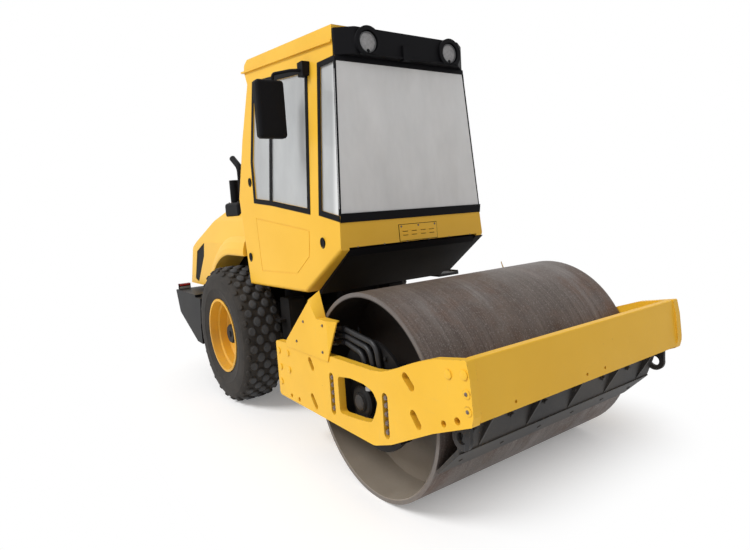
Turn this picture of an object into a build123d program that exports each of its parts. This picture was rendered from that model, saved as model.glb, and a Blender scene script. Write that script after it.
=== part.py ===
# Single-drum road roller with an articulated frame and a closed cab.
# Millimetres. +X forward to the drum, +Y the machine's left, +Z up.
# The origin is on the ground, below the middle of the whole machine.
import os
from math import pi, sqrt, tan

from build123d import *

# Driving dimensions

DRUM_X = 1417.0
DRUM_R = 610.0
DRUM_HALF = 840.0
DRUM_SHELL = 28.0
DRUM_WEB_Y = 560.0
SHAFT_R = 60.0
SLOT_XS = (1109.0, 1669.0)
MOTOR_X = 1325.0
MOTOR_Z = 555.0
EYE_X = 2194.0
EYE_Z = 614.0
EYE_R = 30.0

WHEELBASE = 2300.0
WHEEL_X = DRUM_X - WHEELBASE
TYRE_R = 622.5
TYRE_OUT = 910.0
TYRE_IN = 532.0
TYRE_Y = (TYRE_OUT + TYRE_IN) / 2
TYRE_SIDES = 34
LUG_DEPTH = 22.0
LUG_ROWS = (-124.0, -62.0, 0.0, 62.0, 124.0)
RIM_R = 328.0

PIVOT_X = 217.0
SWING_Z = 610.0

PLATE_OUT = 905.0
PLATE_T = 48.0
PLATE_IN = PLATE_OUT - PLATE_T
PLATE_REAR = 330.0
PLATE_LOW = 376.0
PLATE_HIGH = 783.0
GUARD_T = 8.0
GUARD_IN = -848.0
HOSE_START = 1014.0

BEAM_T = 45.0
BEAM_FRONT_TOP = 2302.0
BEAM_FRONT_LOW = 2329.0
BEAM_TOP = 1012.0
BEAM_LOW = 726.0
BEAM_INSET = 6.0

CAB_FLOOR_Z = 1116.0
CAB_WALL = 45.0
CAB_SILL_Z = 1663.0
CAB_HALF = 639.0
CAB_FRONT_X = 917.0
CAB_LEAN = 0.0736
CAB_TAPER = 0.052
CAB_EDGE_R = 22.0
GLASS_T = 6.0
GLASS_TOP = 2655.0
TRIM_T = 3.0
TRIM_W = 38.0
ROOF_FRONT = 848.0
ROOF_SLOPE = 0.0742
DOOR_GAP = 6.0
LAMP_Y = 357.0
LAMP_Z = 2763.0

REAR_X = -2333.0
REAR_EYE_X = -2295.0
REAR_EYE_Z = 727.0
REAR_EYE_R = 22.0
HOOD_T = 20.0
HOOD_PIVOT_X = -2300.0
HOOD_PIVOT_Z = 970.0
ARCH_R = 727.0

GAP = 6.0
RUNNING = 0.06
CYLINDER_Y = 155.0
EAR_Y = 170.0
HINGE_X = -430.0
HINGE_OUT = 16.0
HINGES = ((1346.0, -200.0), (1976.0, -324.0))
CYLINDER_ROD_R = 22.0
WIDE = 900.0

os.makedirs("parts", exist_ok=True)


def write(part, name):
    part.label = name
    export_step(part, "parts/" + name + ".step")


# Planes that look along each axis

def side_plane(y):
    return Plane.XZ.offset(-y)


def front_plane(x):
    return Plane.YZ.offset(x)


def level_plane(z):
    return Plane.XY.offset(z)


# Plain solids that the pieces are made of. A corner may carry its own radius as a third value.

def prism(plane, points, depth, radius=0.0):
    with BuildPart() as block:
        with BuildSketch(plane) as outline:
            with BuildLine():
                Polyline(*[p[:2] for p in points], close=True)
            make_face()
            for point in points:
                round_r = point[2] if len(point) > 2 else radius
                if round_r > 0:
                    corner = outline.vertices().sort_by_distance((point[0], point[1]))[0]
                    fillet(corner, round_r)
        extrude(amount=depth)
    return block.part


def slab(points, y_low, y_high, radius=0.0):
    return prism(side_plane(y_high), points, y_high - y_low, radius)


def box(x0, x1, y0, y1, z0, z1, edge=0.0):
    with BuildPart() as block:
        with BuildSketch(level_plane(z0)):
            with Locations(((x0 + x1) / 2, (y0 + y1) / 2)):
                Rectangle(x1 - x0, y1 - y0)
        extrude(amount=z1 - z0)
        if edge > 0:
            fillet(block.edges(), edge)
    return block.part


def rod(plane, u, v, radius, length):
    with BuildPart() as bar:
        with BuildSketch(plane):
            with Locations((u, v)):
                Circle(radius)
        extrude(amount=length)
    return bar.part


def spun(x, z, points):
    # A ring about the Y axis through x, z from (radius, y) points
    with BuildPart() as ring:
        with BuildSketch(Plane(origin=(x, 0, z), x_dir=(1, 0, 0), z_dir=(0, 0, 1))):
            with BuildLine():
                Polyline(*points, close=True)
            make_face()
        revolve(axis=Axis((x, 0, z), (0, 1, 0)))
    return ring.part


def frame_slab(points, width, y_low, y_high):
    # A closed strip of one width around an opening
    with BuildPart() as strip:
        with BuildSketch(side_plane(y_high)):
            with BuildLine():
                Polyline(*points, close=True)
            make_face()
            offset(amount=width, kind=Kind.INTERSECTION)
            with BuildLine():
                Polyline(*points, close=True)
            make_face(mode=Mode.SUBTRACT)
        extrude(amount=y_high - y_low)
    return strip.part


def mirrored(part):
    return mirror(part, about=Plane.XZ)


def joined(*parts):
    with BuildPart() as whole:
        add(parts)
    return whole.part


def both_sides(part):
    return joined(part, mirrored(part))


def cut(part, *tools):
    with BuildPart() as rest:
        add(part)
        add(tools, mode=Mode.SUBTRACT)
    return rest.part


def shared(part, tool):
    with BuildPart() as overlap:
        add(part)
        add(tool, mode=Mode.INTERSECT)
    return overlap.part


def pipe(points, radius, bend):
    with BuildPart() as tube:
        with BuildLine() as route:
            FilletPolyline(*points, radius=bend)
        with BuildSketch(Plane(origin=route.line @ 0, z_dir=route.line % 0)):
            Circle(radius)
        sweep()
    return tube.part


# Drum

def drum_shell():
    web_y = DRUM_WEB_Y
    web_t = 30.0
    hub_r = 170.0
    hub_wall = 30.0
    root = 5.0
    bore = SHAFT_R + RUNNING
    inner = DRUM_R - DRUM_SHELL
    shell = spun(DRUM_X, DRUM_R, [(inner, -DRUM_HALF), (DRUM_R, -DRUM_HALF),
                                  (DRUM_R, DRUM_HALF), (inner, DRUM_HALF)])
    webs = []
    for low in (-web_y, web_y - web_t):
        webs.append(spun(DRUM_X, DRUM_R, [(bore, low), (inner + root, low),
                                          (inner + root, low + web_t), (bore, low + web_t)]))
    tube = spun(DRUM_X, DRUM_R, [(hub_r - hub_wall, -web_y), (hub_r, -web_y),
                                 (hub_r, web_y), (hub_r - hub_wall, web_y)])
    return joined(shell, tube, *webs)


def drum_carrier():
    # Bearing housing on two upright bars that are bolted behind the slots of a side plate
    disc_y = -780.0
    disc_r = 330.0
    disc_t = 20.0
    web_y = -DRUM_WEB_Y - GAP
    housing = spun(DRUM_X, DRUM_R, [(0, disc_y), (190, disc_y), (190, disc_y + 60),
                                    (150, disc_y + 110), (150, web_y), (SHAFT_R, web_y),
                                    (SHAFT_R, web_y + 40), (0, web_y + 40)])
    disc = spun(DRUM_X, DRUM_R, [(0, disc_y - disc_t), (disc_r, disc_y - disc_t),
                                 (disc_r, disc_y), (0, disc_y)])
    bars = [box(x - 55, x + 55, -PLATE_IN, disc_y, 425, 715) for x in SLOT_XS]
    motor = spun(MOTOR_X, MOTOR_Z, [(0, disc_y), (98, disc_y), (98, disc_y - 46),
                                    (84, disc_y - 56), (60, disc_y - 56), (54, disc_y - 66),
                                    (0, disc_y - 66)])
    flange = slab([(1235, 500, 20), (1415, 500, 20), (1415, 610, 20), (1235, 610, 20)],
                  disc_y - 34, disc_y)
    return joined(housing, disc, motor, flange, *bars)


def drum_hoses():
    # Three hydraulic hoses that loop from behind the guard down to the motor
    hose_r = 17.0
    y = -822.0
    hoses = []
    for top, turn_x, low in ((974, 1540, 700), (934, 1480, 650), (892, 1404, 646)):
        hoses.append(pipe([(HOSE_START + 3, y, top - 20), (1180, y, top), (turn_x - 40, y, top - 40),
                           (turn_x, y, low)], hose_r, 75))
    return hoses


# Drum frame

def plate_outline():
    return [(PLATE_REAR, PLATE_LOW, 30), (1540, PLATE_LOW, 160), (1705, 435, 60), (2047, 604, 90),
            (2318, 716, 16), (2336, 790, 120), (2326, 880, 120), (2300, 1016, 10), (2076, 979, 60),
            (1921, 928, 90), (1747, 857, 90), (1650, 826, 60), (1560, 815, 60), (1090, 808, 20),
            (PLATE_REAR, PLATE_HIGH, 25)]


def window_outline():
    return [(1187, 467, 30), (1187, 697, 30), (1330, 718, 60), (1470, 716, 60), (1560, 692, 45),
            (1597, 640, 25), (1572, 575, 40), (1530, 508, 40), (1400, 486, 60)]


def slot(x0, z0, x1, z1, width):
    reach = sqrt((x1 - x0) ** 2 + (z1 - z0) ** 2)
    along = Plane(origin=((x0 + x1) / 2, -PLATE_IN + 1, (z0 + z1) / 2),
                  x_dir=(x1 - x0, 0, z1 - z0), z_dir=(0, -1, 0))
    with BuildPart() as hole:
        with BuildSketch(along):
            SlotOverall(reach, width)
        extrude(amount=PLATE_T + 2)
    return hole.part


def side_plate():
    front = slab([(0, 0), (BEAM_FRONT_LOW, 0), (BEAM_FRONT_LOW, 790), (2324, 850),
                  (BEAM_FRONT_TOP, 1100), (0, 1100)], -PLATE_OUT, -PLATE_IN)
    plate = shared(slab(plate_outline(), -PLATE_OUT, -PLATE_IN), front)
    window = slab(window_outline(), -PLATE_OUT - 1, -PLATE_IN + 1)
    slots = [slot(1109, 435, 1109, 704, 50), slot(1669, 457, 1669, 713, 50),
             slot(1840, 860, 1922, 788, 46), slot(1892, 680, 1958, 598, 46),
             slot(828, 748, 882, 668, 42), slot(824, 500, 896, 410, 42)]
    holes = [rod(side_plane(-PLATE_IN + 1), x, z, r, PLATE_T + 2)
             for x, z, r in ((2132, 680, 17), (2226, 720, 19), (524, 411, 15), (640, 411, 17))]
    return cut(plate, window, *slots, *holes)


def front_beam():
    # A leaning plate between the side plates, with a stiffener behind its lower edge
    top = BEAM_FRONT_TOP - BEAM_INSET
    low = BEAM_FRONT_LOW - BEAM_INSET
    rounding = 8.0
    face = slab([(low, BEAM_LOW), (top, BEAM_TOP, rounding), (top - BEAM_T, BEAM_TOP, rounding),
                 (low - BEAM_T, BEAM_LOW)], -PLATE_IN, PLATE_IN)
    stiff = slab([(low - BEAM_T + 1, BEAM_LOW + 20), (low - BEAM_T + 1, BEAM_LOW + 50),
                  (2130, BEAM_LOW + 50), (2130, BEAM_LOW + 20)], -PLATE_IN, PLATE_IN)
    holes = [rod(front_plane(2200), y, 762, 8, 200) for y in (-618, -63, 98)]
    return cut(joined(face, stiff), *holes)


def rear_crossbeam():
    bore = rod(front_plane(330), 0, SWING_Z, SHAFT_R + RUNNING, 260)
    body = box(340, 560, -PLATE_IN, PLATE_IN, 400, 770)
    hollow = box(370, 570, -PLATE_IN - 1, -160, 430, 740)
    return cut(body, bore, hollow, mirrored(hollow))


def front_scraper():
    # A hanger plate below the beam, and the strip that it holds against the drum
    half = DRUM_HALF - 5
    top = BEAM_LOW + 20
    hanger = slab([(2216, top), (2232, top), (2142, 500), (2126, 500)], -half, half)
    strip = slab([(2154, 512), (2134, 528), (1981, 366), (1990, 354)], -half, half)
    ribs = [slab([(2232, top), (2262, top), (2262, 700), (2158, 530), (2146, 512)], y - 6, y + 6)
            for y in (-700, -350, 0, 350, 700)]
    return joined(hanger, strip, *ribs)


def rear_scraper():
    # Strip behind the drum on arms from the rear crossbeam
    half = DRUM_HALF - 5
    strip = slab([(717, 640), (729, 640), (793, 470), (781, 470)], -half, half)
    arms = [slab([(560, 560), (560, 700), (725, 640), (760, 555)], y - 8, y + 8) for y in (-650, 650)]
    return joined(strip, *arms)


def hose_guard():
    # Folded sheet on the rear top of a side plate: a wing, a step and a front fold
    out = -PLATE_OUT - GUARD_T
    plan = prism(level_plane(760), [(500, out), (1112, out), (1194, out + 26), (1194, out + 34),
                                    (1110, out + GUARD_T), (500, out + GUARD_T)], 460)
    wing = slab([(521, 770), (521, 812, 8), (898, 1132, 8), (986, 1026), (1192, 1030), (1108, 806),
                 (1092, 770)], -920, -870)
    face = shared(plan, wing)
    lip = prism(level_plane(1020), [(982, out), (1112, out), (1192, out + 26), (1160, GUARD_IN),
                                    (982, GUARD_IN)], GUARD_T)
    bulkhead = box(HOSE_START - 12, HOSE_START, -PLATE_OUT, -803, 855, 985)
    with BuildPart() as fold:
        for y, tip_x, tip_z, root_x, root_z in ((out, 892, 1134, 980, 1022), (GUARD_IN, 930, 1190, 990, 1022)):
            with BuildSketch(side_plane(y)):
                with BuildLine():
                    Polyline((tip_x, tip_z), (tip_x + 7, tip_z + 5), (root_x + 7, root_z + 5),
                             (root_x, root_z), close=True)
                make_face()
        loft()
    return joined(face, lip, fold.part, bulkhead)


def lashing_eye():
    # Ring plate on the inner face of a side plate, below its front corner
    eye_t = 20.0
    eye_out_r = 60.0
    neck = slab([(2136, 614), (2253, 614), (2253, 744), (2136, 744)], -PLATE_IN, -PLATE_IN + eye_t)
    ring = rod(side_plane(-PLATE_IN + eye_t), EYE_X, EYE_Z, eye_out_r, eye_t)
    hole = rod(side_plane(-PLATE_IN + eye_t + 1), EYE_X, EYE_Z, EYE_R, eye_t + 2)
    clear = slab([(2100, 700), (2300, 700), (2300, 760), (2100, 760)], -WIDE, -PLATE_IN)
    return cut(joined(neck, ring), hole, clear)


# Articulated joint

def centre_joint():
    post = rod(level_plane(452), PIVOT_X, 0, 88, 316)
    nose = box(PIVOT_X, 338, -88, 88, 470, 750)
    flange = rod(front_plane(318), 0, SWING_Z, 130, 20)
    shaft = rod(front_plane(330), 0, SWING_Z, SHAFT_R, 220)
    ear = box(PIVOT_X - 40, PIVOT_X + 40, -215, 215, 590, 630)
    pin_hole = rod(level_plane(430), PIVOT_X, 0, 35 + RUNNING, 360)
    ear_holes = [rod(level_plane(580), PIVOT_X, y, 20, 60) for y in (-EAR_Y, EAR_Y)]
    return cut(joined(post, nose, flange, shaft, ear), pin_hole, *ear_holes)


# Rear frame

def rear_frame():
    plate_t = 44.0
    plates = []
    for z0 in (400, 776):
        outline = [(-420, -300), (60, -140), (60, 140), (-420, 300)]
        plate = prism(level_plane(z0), outline, plate_t)
        tip = rod(level_plane(z0), PIVOT_X, 0, 95, plate_t)
        neck = box(0, PIVOT_X, -95, 95, z0, z0 + plate_t)
        plates += [plate, tip, neck]
    core = box(-420, 60, -100, 100, 430, 790)
    rails = [box(-2080, -400, y, y + 60, 420, 900) for y in (-440, 380)]
    cross = [box(x, x + 40, -440, 440, 420, 780) for x in (-440, -1400, -2080)]
    posts = [box(-440, -330, y, y + 100, 780, CAB_FLOOR_Z) for y in (-440, 340)]
    front_post = box(-60, 40, -130, 130, 800, CAB_FLOOR_Z)
    pin = rod(level_plane(395), PIVOT_X, 0, 35, 430)
    axle_hole = rod(side_plane(500), WHEEL_X, TYRE_R, 112, 1000)
    body = joined(core, front_post, *plates, *rails, *cross, *posts)
    return joined(cut(body, axle_hole), pin)


def rear_axle():
    tube_half = 500.0
    tube_r = 110.0
    hub_y = 640.0
    ball_r = 190.0
    tube = spun(WHEEL_X, TYRE_R, [(0, -tube_half), (tube_r, -tube_half), (tube_r, tube_half), (0, tube_half)])
    spindle = spun(WHEEL_X, TYRE_R, [(0, -hub_y), (70, -hub_y), (70, 5 - tube_half), (0, 5 - tube_half)])
    with BuildPart() as ball:
        with Locations((WHEEL_X, 0, TYRE_R)):
            Sphere(ball_r)
    return joined(tube, ball.part, spindle, mirrored(spindle))


def counterweight():
    half = 880.0
    lug_t = 26.0
    profile = [(REAR_X, 925, 14), (-2243, 680, 40), (-1703, 430, 30), (-1545, 425), (-1545, 600),
               (-1470, 925)]
    body = slab(profile, -half, half)
    bay = box(-2080, -1400, -640, 640, 380, 1000)
    lugs = [slab([(-2240, 640), (-2330, 690), (-2330, 770), (-2270, 790)], y - lug_t / 2, y + lug_t / 2)
            for y in (-500, 500)]
    holes = rod(side_plane(520), REAR_EYE_X, REAR_EYE_Z, REAR_EYE_R, 1040)
    step = box(-1640, -1400, -half - 1, half + 1, 900, 1000)
    return cut(joined(body, *lugs), bay, holes, step)


def side_tank():
    tank = slab([(-225, 520, 20), (-60, 520, 20), (-60, 1000, 20), (-225, 1000, 20)], -590, -440)
    treads = [box(-225, -135, -645, -589, z, z + 24) for z in (560, 800)]
    return joined(tank, *treads)


def entry_step():
    # Platform below the door on the left, hung from the cab floor
    deck = prism(level_plane(1064), [(-200, 600), (450, 600), (450, 836, 12), (-200, 836, 12)], 22)
    hangers = [box(x, x + 14, 600, 650, 1080, CAB_FLOOR_Z) for x in (-150, 380)]
    edge = box(-190, 440, 826, 836, 1080, 1098)
    return joined(deck, edge, *hangers)


def engine_block():
    return box(-1900, -1020, -330, 330, 825, 1330)


def radiator():
    return box(-2060, -1960, -360, 360, 785, 1300)


# Cab

def cab_wedge(inset):
    # Everything between the two leaning, tapering cab sides, drawn in by inset
    x_back, x_front = -1200.0, 1500.0
    z_low, z_high = 900.0, 3200.0

    def half(x, z):
        return CAB_HALF - CAB_LEAN * (z - CAB_SILL_Z) - CAB_TAPER * (x - CAB_FRONT_X) - inset

    with BuildPart() as wedge:
        for z in (z_low, z_high):
            back, front = half(x_back, z), half(x_front, z)
            with BuildSketch(level_plane(z)):
                with BuildLine():
                    Polyline((x_back, -back), (x_front, -front), (x_front, front),
                             (x_back, back), close=True)
                make_face()
        loft()
    return wedge.part


def across(points):
    return slab(points, -WIDE, WIDE)


def on_right(points):
    return slab(points, -WIDE, 0)


def on_left(points):
    return slab(points, 0, WIDE)


def roof_low(x):
    return 2771 + ROOF_SLOPE * (ROOF_FRONT - x)


def cab_profile():
    return [(-445, CAB_FLOOR_Z), (470, CAB_FLOOR_Z), (924, 1427), (913, 1620), (921, CAB_SILL_Z),
            (872, 2680), (ROOF_FRONT, 2684), (ROOF_FRONT, roof_low(ROOF_FRONT)),
            (-470, roof_low(-470)), (-431, 2792), (-555, 2338), (-645, 1844)]


def door_outline(grow):
    return [(-230 - grow, 1246 - grow), (360 + grow * 0.4, 1250 - grow),
            (528 + grow * 0.9, 1380 - grow * 0.4), (634 + grow, 1560), (630 + grow, 2702 + grow),
            (-330 - grow, 2776 + grow), (-383 - grow, 2132), (-346 - grow, 1830)]


def side_window():
    return [(-303, 1828), (-33, 1799), (512, 1718), (498, 2655), (-290, 2730), (-345, 2132)]


def hatch_groove():
    outer = [(-309, 1672), (534, 1565), (534, 1377), (357, 1244), (-213, 1238)]
    inner = [(-304, 1664), (526, 1558), (526, 1381), (355, 1252), (-208, 1246)]
    return cut(on_right(outer), on_right(inner), on_right([(-500, 1200), (-240, 1200), (-330, 1700),
                                                           (-500, 1700)]))


def rounded_cab_block():
    # The cab's whole outer form, with its lower and rear edges rounded
    block = shared(cab_wedge(0), across(cab_profile()))
    with BuildPart() as soft:
        add(block)
        lower = soft.edges().filter_by(lambda e: is_lower_side_edge(e.center()))
        fillet(lower, CAB_EDGE_R)
    return soft.part


def is_lower_side_edge(middle):
    outer = abs(middle.Y) > 500
    low = middle.Z < 1400
    rear = middle.X < -430 and middle.Z < 2700
    return outer and (low or rear)


def cab_shell():
    inner_profile = [(-400, 1160), (440, 1150), (875, 1450), (868, 1620), (874, CAB_SILL_Z), (827, 2690),
                     (800, 2700), (800, 2860), (-480, 2950), (-390, 2780), (-508, 2338), (-598, 1844)]
    inner = shared(cab_wedge(CAB_WALL), across(inner_profile))
    door = on_left(door_outline(DOOR_GAP))
    window = on_right(side_window())
    front = across([(692, 1696), (1000, 1634), (1000, GLASS_TOP), (692, GLASS_TOP)])
    rear = box(-800, -420, -480, 480, 1880, 2700)
    floor_hole = box(-380, 420, -600, 600, 1000, 1200)
    slope_hole = slab([(480, 1000), (440, 1160), (860, 1460), (1000, 1420), (700, 1000)], -590, 590)
    groove = shared(cut(cab_wedge(-1), cab_wedge(3)), hatch_groove())
    return cut(rounded_cab_block(), inner, door, window, front, rear, floor_hole, slope_hole, groove)


def cab_floor():
    return box(-379, 419, -599, 599, CAB_FLOOR_Z, 1160)


def cab_nose():
    # Black sloped panel below the front of the cab, which laps over the left side's edge
    panel = slab([(476, 1088), (456, 1122), (860, 1450), (912, 1425), (880, 1380)], -589, 589)
    lap = shared(cab_wedge(2), slab([(473, 1111), (927, 1422), (925, 1427), (470, 1116)], 580, WIDE))
    return joined(panel, lap)


def roof():
    lip = 14.0
    outline = [(ROOF_FRONT, roof_low(ROOF_FRONT)), (ROOF_FRONT, 2880), (-400, 2961, 25), (-452, 2930, 30),
               (-462, roof_low(-462))]
    band = shared(cab_wedge(-8), across(outline))
    gutter = [(ROOF_FRONT, roof_low(ROOF_FRONT)), (ROOF_FRONT, roof_low(ROOF_FRONT) + lip),
              (-500, roof_low(-500) + lip), (-500, roof_low(-500))]
    return joined(band, shared(cab_wedge(-17), across(gutter)))


def visor():
    half = 562.0
    bulge_r = 100.0
    recess_r = 72.0
    top = 2852.0
    low = 2684.0
    shade = prism(level_plane(low), [(ROOF_FRONT, -half), (868, -half), (948, -half + 112, 30),
                                     (948, half - 112, 30), (868, half), (ROOF_FRONT, half)], top - low)
    bulges = []
    for y in (-LAMP_Y, LAMP_Y):
        bulge = rod(front_plane(ROOF_FRONT), y, LAMP_Z, bulge_r, 120)
        bulges.append(cut(bulge, box(800, 1000, y - 120, y + 120, 2600, low + 4)))
    pockets = [rod(front_plane(940), y, LAMP_Z, recess_r, 60) for y in (-LAMP_Y, LAMP_Y)]
    wall = across([(800, 2600), (921, 1700), (872, 2680), (ROOF_FRONT, 2684), (ROOF_FRONT, 2700)])
    lip = box(ROOF_FRONT + 25, 962, -420, 420, low, low + 10)
    wiper_box = box(930, 968, -75, -10, 2672, 2770)
    return cut(joined(shade, lip, wiper_box, *bulges), wall, *pockets)


def lamp_lens(y):
    return [rod(front_plane(940.5), y, LAMP_Z, 66, 16)]


def tail_lamp(y):
    return [box(REAR_X + 8, REAR_X + 60, y - 65, y + 65, 925.5, 985)]


def lamps():
    lenses = lamp_lens(-LAMP_Y) + lamp_lens(LAMP_Y) + tail_lamp(-795) + tail_lamp(795)
    return joined(*lenses)


def cab_glass():
    # Fixed panes: windscreen, two quarter panes, right side window and rear window
    screen = shared(cab_wedge(2), across([(913, 1653), (919.5, 1653), (870.5, 2654), (864, 2654)]))
    thin = cut(cab_wedge(8), cab_wedge(8 + GLASS_T))
    quarters = shared(thin, across([(693, 1697.2), (904, 1654), (857, 2654), (693, 2654)]))
    side = shared(thin, on_right(side_window()))
    rear = slab([(-606, 1881), (-600, 1881), (-436, 2699), (-442, 2699)], -479, 479)
    return joined(screen, quarters, side, rear)


def window_trim():
    # Black strips that frame the panes on the outside, 3 mm proud of the yellow
    proud = cut(cab_wedge(-TRIM_T), cab_wedge(0))
    quarter = [(700, 1696), (905, 1655), (858, 2645), (700, 2645)]
    ring = cut(frame_slab(quarter, TRIM_W, -WIDE, WIDE), across([(921, 1500), (1100, 1500), (1100, 2900),
                                                                (872, 2900), (872, 2680)]))
    ring = cut(ring, across([(904, 1700), (1100, 1700), (1100, 2600), (862, 2600)]))
    right_ring = frame_slab(side_window(), TRIM_W, -WIDE, 0)
    bar = on_right([(-61, 1770), (-25, 1770), (8, 2740), (-28, 2740)])
    sill = slab([(918, 1608), (921, 1608), (929, 1668), (924, 1668)], -642, 642)
    sides = shared(proud, joined(ring, right_ring, bar))
    return joined(sides, sill)


def door_left():
    panel = shared(cut(cab_wedge(0), cab_wedge(CAB_WALL)), on_left(door_outline(0)))
    straps = []
    for z, end_x in HINGES:
        y = hinge_y(z)
        line = Plane(origin=(HINGE_X, hinge_y(z - 30), z - 30), z_dir=(0, -CAB_LEAN, 1))
        straps.append(box(HINGE_X - 2, end_x, y - 4, y + 8, z - 30, z + 30))
        straps.append(rod(line, 0, 0, 10, 60))
    return cut(joined(panel, *straps, *hinge_feet()), on_left(side_window()))


def hinge_feet():
    # Blocks that carry the hinge straps on the door panel
    return [box(end_x - 34, end_x, hinge_y(z) - 34, hinge_y(z), z - 30, z + 30) for z, end_x in HINGES]


def hinge_y(z):
    # Distance of the leaning hinge line from the middle of the machine
    return CAB_HALF - CAB_LEAN * (z - CAB_SILL_Z) - CAB_TAPER * (HINGE_X - CAB_FRONT_X) + HINGE_OUT


def door_glass_left():
    pane = cut(cab_wedge(8), cab_wedge(8 + GLASS_T))
    return shared(pane, on_left(side_window()))


def door_trim_left():
    proud = cut(cab_wedge(-TRIM_T), cab_wedge(0))
    ring = shared(frame_slab(side_window(), TRIM_W, 0, WIDE), on_left(door_outline(-1)))
    handle = slab([(560, 1500), (590, 1500), (590, 1620), (560, 1620)], 655, 700)
    return joined(cut(shared(proud, ring), *hinge_feet()), cut(handle, cab_wedge(0)))


def seat():
    pedestal = box(-210, 130, -190, 190, 1160, 1400)
    slide = box(-240, 170, -215, 215, 1400, 1470)
    cushion = box(-270, 230, -245, 245, 1470, 1600, 38)
    back = slab([(-270, 1560, 30), (-140, 1560, 30), (-215, 2130, 45), (-320, 2130, 45)], -235, 235)
    head = slab([(-296, 2100, 20), (-226, 2100, 20), (-244, 2270, 28), (-314, 2270, 28)], -130, 130)
    arms = [box(-200, 130, y, y + 60, 1730, 1780, 18) for y in (-305, 245)]
    holders = [box(-215, -165, y, y + 40, 1590, 1760) for y in (-270, 230)]
    return joined(pedestal, slide, cushion, back, head, *arms, *holders)


def console():
    foot = slab([(560, 1215), (760, 1378), (760, 1700, 20), (560, 1700, 20)], -180, 180)
    column = slab([(600, 1690), (700, 1690), (548, 1890), (500, 1862)], -45, 45)
    return joined(foot, column)


def steering_wheel():
    wheel_r = 185.0
    grip = 13.0
    tilt = Plane(origin=(500, 0, 1915), x_dir=(0.87, 0, 0.5), z_dir=(-0.5, 0, 0.87))
    with BuildPart() as wheel:
        with BuildSketch(Plane(origin=tilt.origin, x_dir=tilt.x_dir, z_dir=(0, 1, 0))):
            with Locations((wheel_r, 0)):
                RegularPolygon(grip, 8)
        revolve(axis=Axis(tilt.origin, tilt.z_dir))
        with BuildSketch(tilt):
            Circle(38)
            for turn in (90, 210, 330):
                with Locations(Location((0, 0, 0), turn)):
                    with Locations((wheel_r / 2, 0)):
                        Rectangle(wheel_r, 26)
        extrude(amount=5, both=True)
    return wheel.part


def mirror_right():
    # Rounded housing on a bent tube from a bracket near the top of the pillar
    head = box(368, 452, -936, -726, 2214, 2606, 26)
    arm = pipe([(412, -800, 2590), (412, -790, 2650), (500, -700, 2660), (529, -628, 2662)], 11, 20)
    foot = cut(box(492, 566, -640, -575, 2622, 2716), cab_wedge(-TRIM_T - 0.5))
    return joined(head, arm, foot)


# Hood

def hood_profile(inset):
    return [(-470, 1116 - inset), (-658, 1790 - inset, 10), (-1290, 1772 - inset, 260),
            (-2170 + inset, 1385 - inset * 0.7, 70), (-2316 + inset, 965), (-2316 + inset, 900),
            (-470, 900)]


def hood_section(inset):
    side = [(705 - inset, 900), (690 - inset, 1450, 80), (640 - inset, 1660, 80), (530 - inset, 1802, 60)]
    return [(-p[0], *p[1:]) for p in side] + side[::-1]


def hood_body(inset):
    return shared(slab(hood_profile(inset), -WIDE, WIDE),
                  prism(front_plane(-2500), hood_section(inset), 2000))


def fender_section():
    wall = HOOD_T
    inner = 500.0
    return [(ARCH_R, inner), (ARCH_R, 750), (ARCH_R + 14, 754), (ARCH_R + 60, 745),
            (ARCH_R + 115, 722), (ARCH_R + 165, 684), (ARCH_R + 165, 660), (ARCH_R + 110, 695),
            (ARCH_R + 60, 716), (ARCH_R + wall, 722), (ARCH_R + wall, inner)]


def fender():
    # Wheel arch with a flared lip, round behind the wheel's top and level towards the cab
    ring = spun(WHEEL_X, TYRE_R, [(r, -y) for r, y in fender_section()])
    ring = shared(ring, box(-1900, WHEEL_X, -WIDE, 0, 985, 1700))
    level = prism(front_plane(WHEEL_X), [(-y, TYRE_R + r) for r, y in fender_section()], 500)
    return shared(joined(ring, level), slab(hood_profile(0), -WIDE, WIDE))


def arch_opening():
    round_part = rod(side_plane(-499), WHEEL_X, TYRE_R, ARCH_R, 280)
    front_part = box(WHEEL_X, -300, -779, -499, 500, TYRE_R + ARCH_R)
    return joined(round_part, front_part)


def vent_outline():
    return [(-1769, 1444), (-2029, 1346), (-2150, 1040), (-2040, 1010), (-1801, 1302)]


def hood():
    shell = cut(hood_body(0), hood_body(HOOD_T))
    low_cut = box(-2400, -300, -WIDE, WIDE, 800, 985)
    rear_window = box(-2400, -2180, -420, 420, 1030, 1260)
    vents = slab(vent_outline(), -WIDE, WIDE)
    body = cut(joined(shell, both_sides(fender())), arch_opening(), mirrored(arch_opening()),
               low_cut, rear_window, vents)
    knuckles = [rod(side_plane(y), HOOD_PIVOT_X, HOOD_PIVOT_Z, 16, 60) for y in (-380, 440)]
    leaves = [box(HOOD_PIVOT_X - 12, HOOD_PIVOT_X + 12, y - 60, y, HOOD_PIVOT_Z, 1010)
              for y in (-380, 440)]
    return joined(body, *knuckles, *leaves)


def slats(x0, x1, count, y_low, y_high, z_low, z_high):
    bars = []
    for i in range(count):
        share = (i + 0.5) / count
        z = z_low + share * (z_high - z_low)
        x = x0 + share * (x1 - x0)
        bars.append(box(x - 10, x + 10, y_low, y_high, z - 6, z + 6))
    return bars


def grilles():
    # Rear grille and the two side vents, all carried by the hood
    frame = slab([(-2287, 1031), (-2272, 1031), (-2186, 1259), (-2201, 1259)], -419, 419)
    hole = box(-2300, -2150, -395, 395, 1050, 1240)
    bars = slats(-2276, -2200, 9, -396, 396, 1046, 1246)
    vent = shared(cut(hood_body(3), hood_body(12)), slab(vent_outline(), -WIDE, WIDE))
    return joined(cut(frame, hole), *bars, vent)


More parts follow.
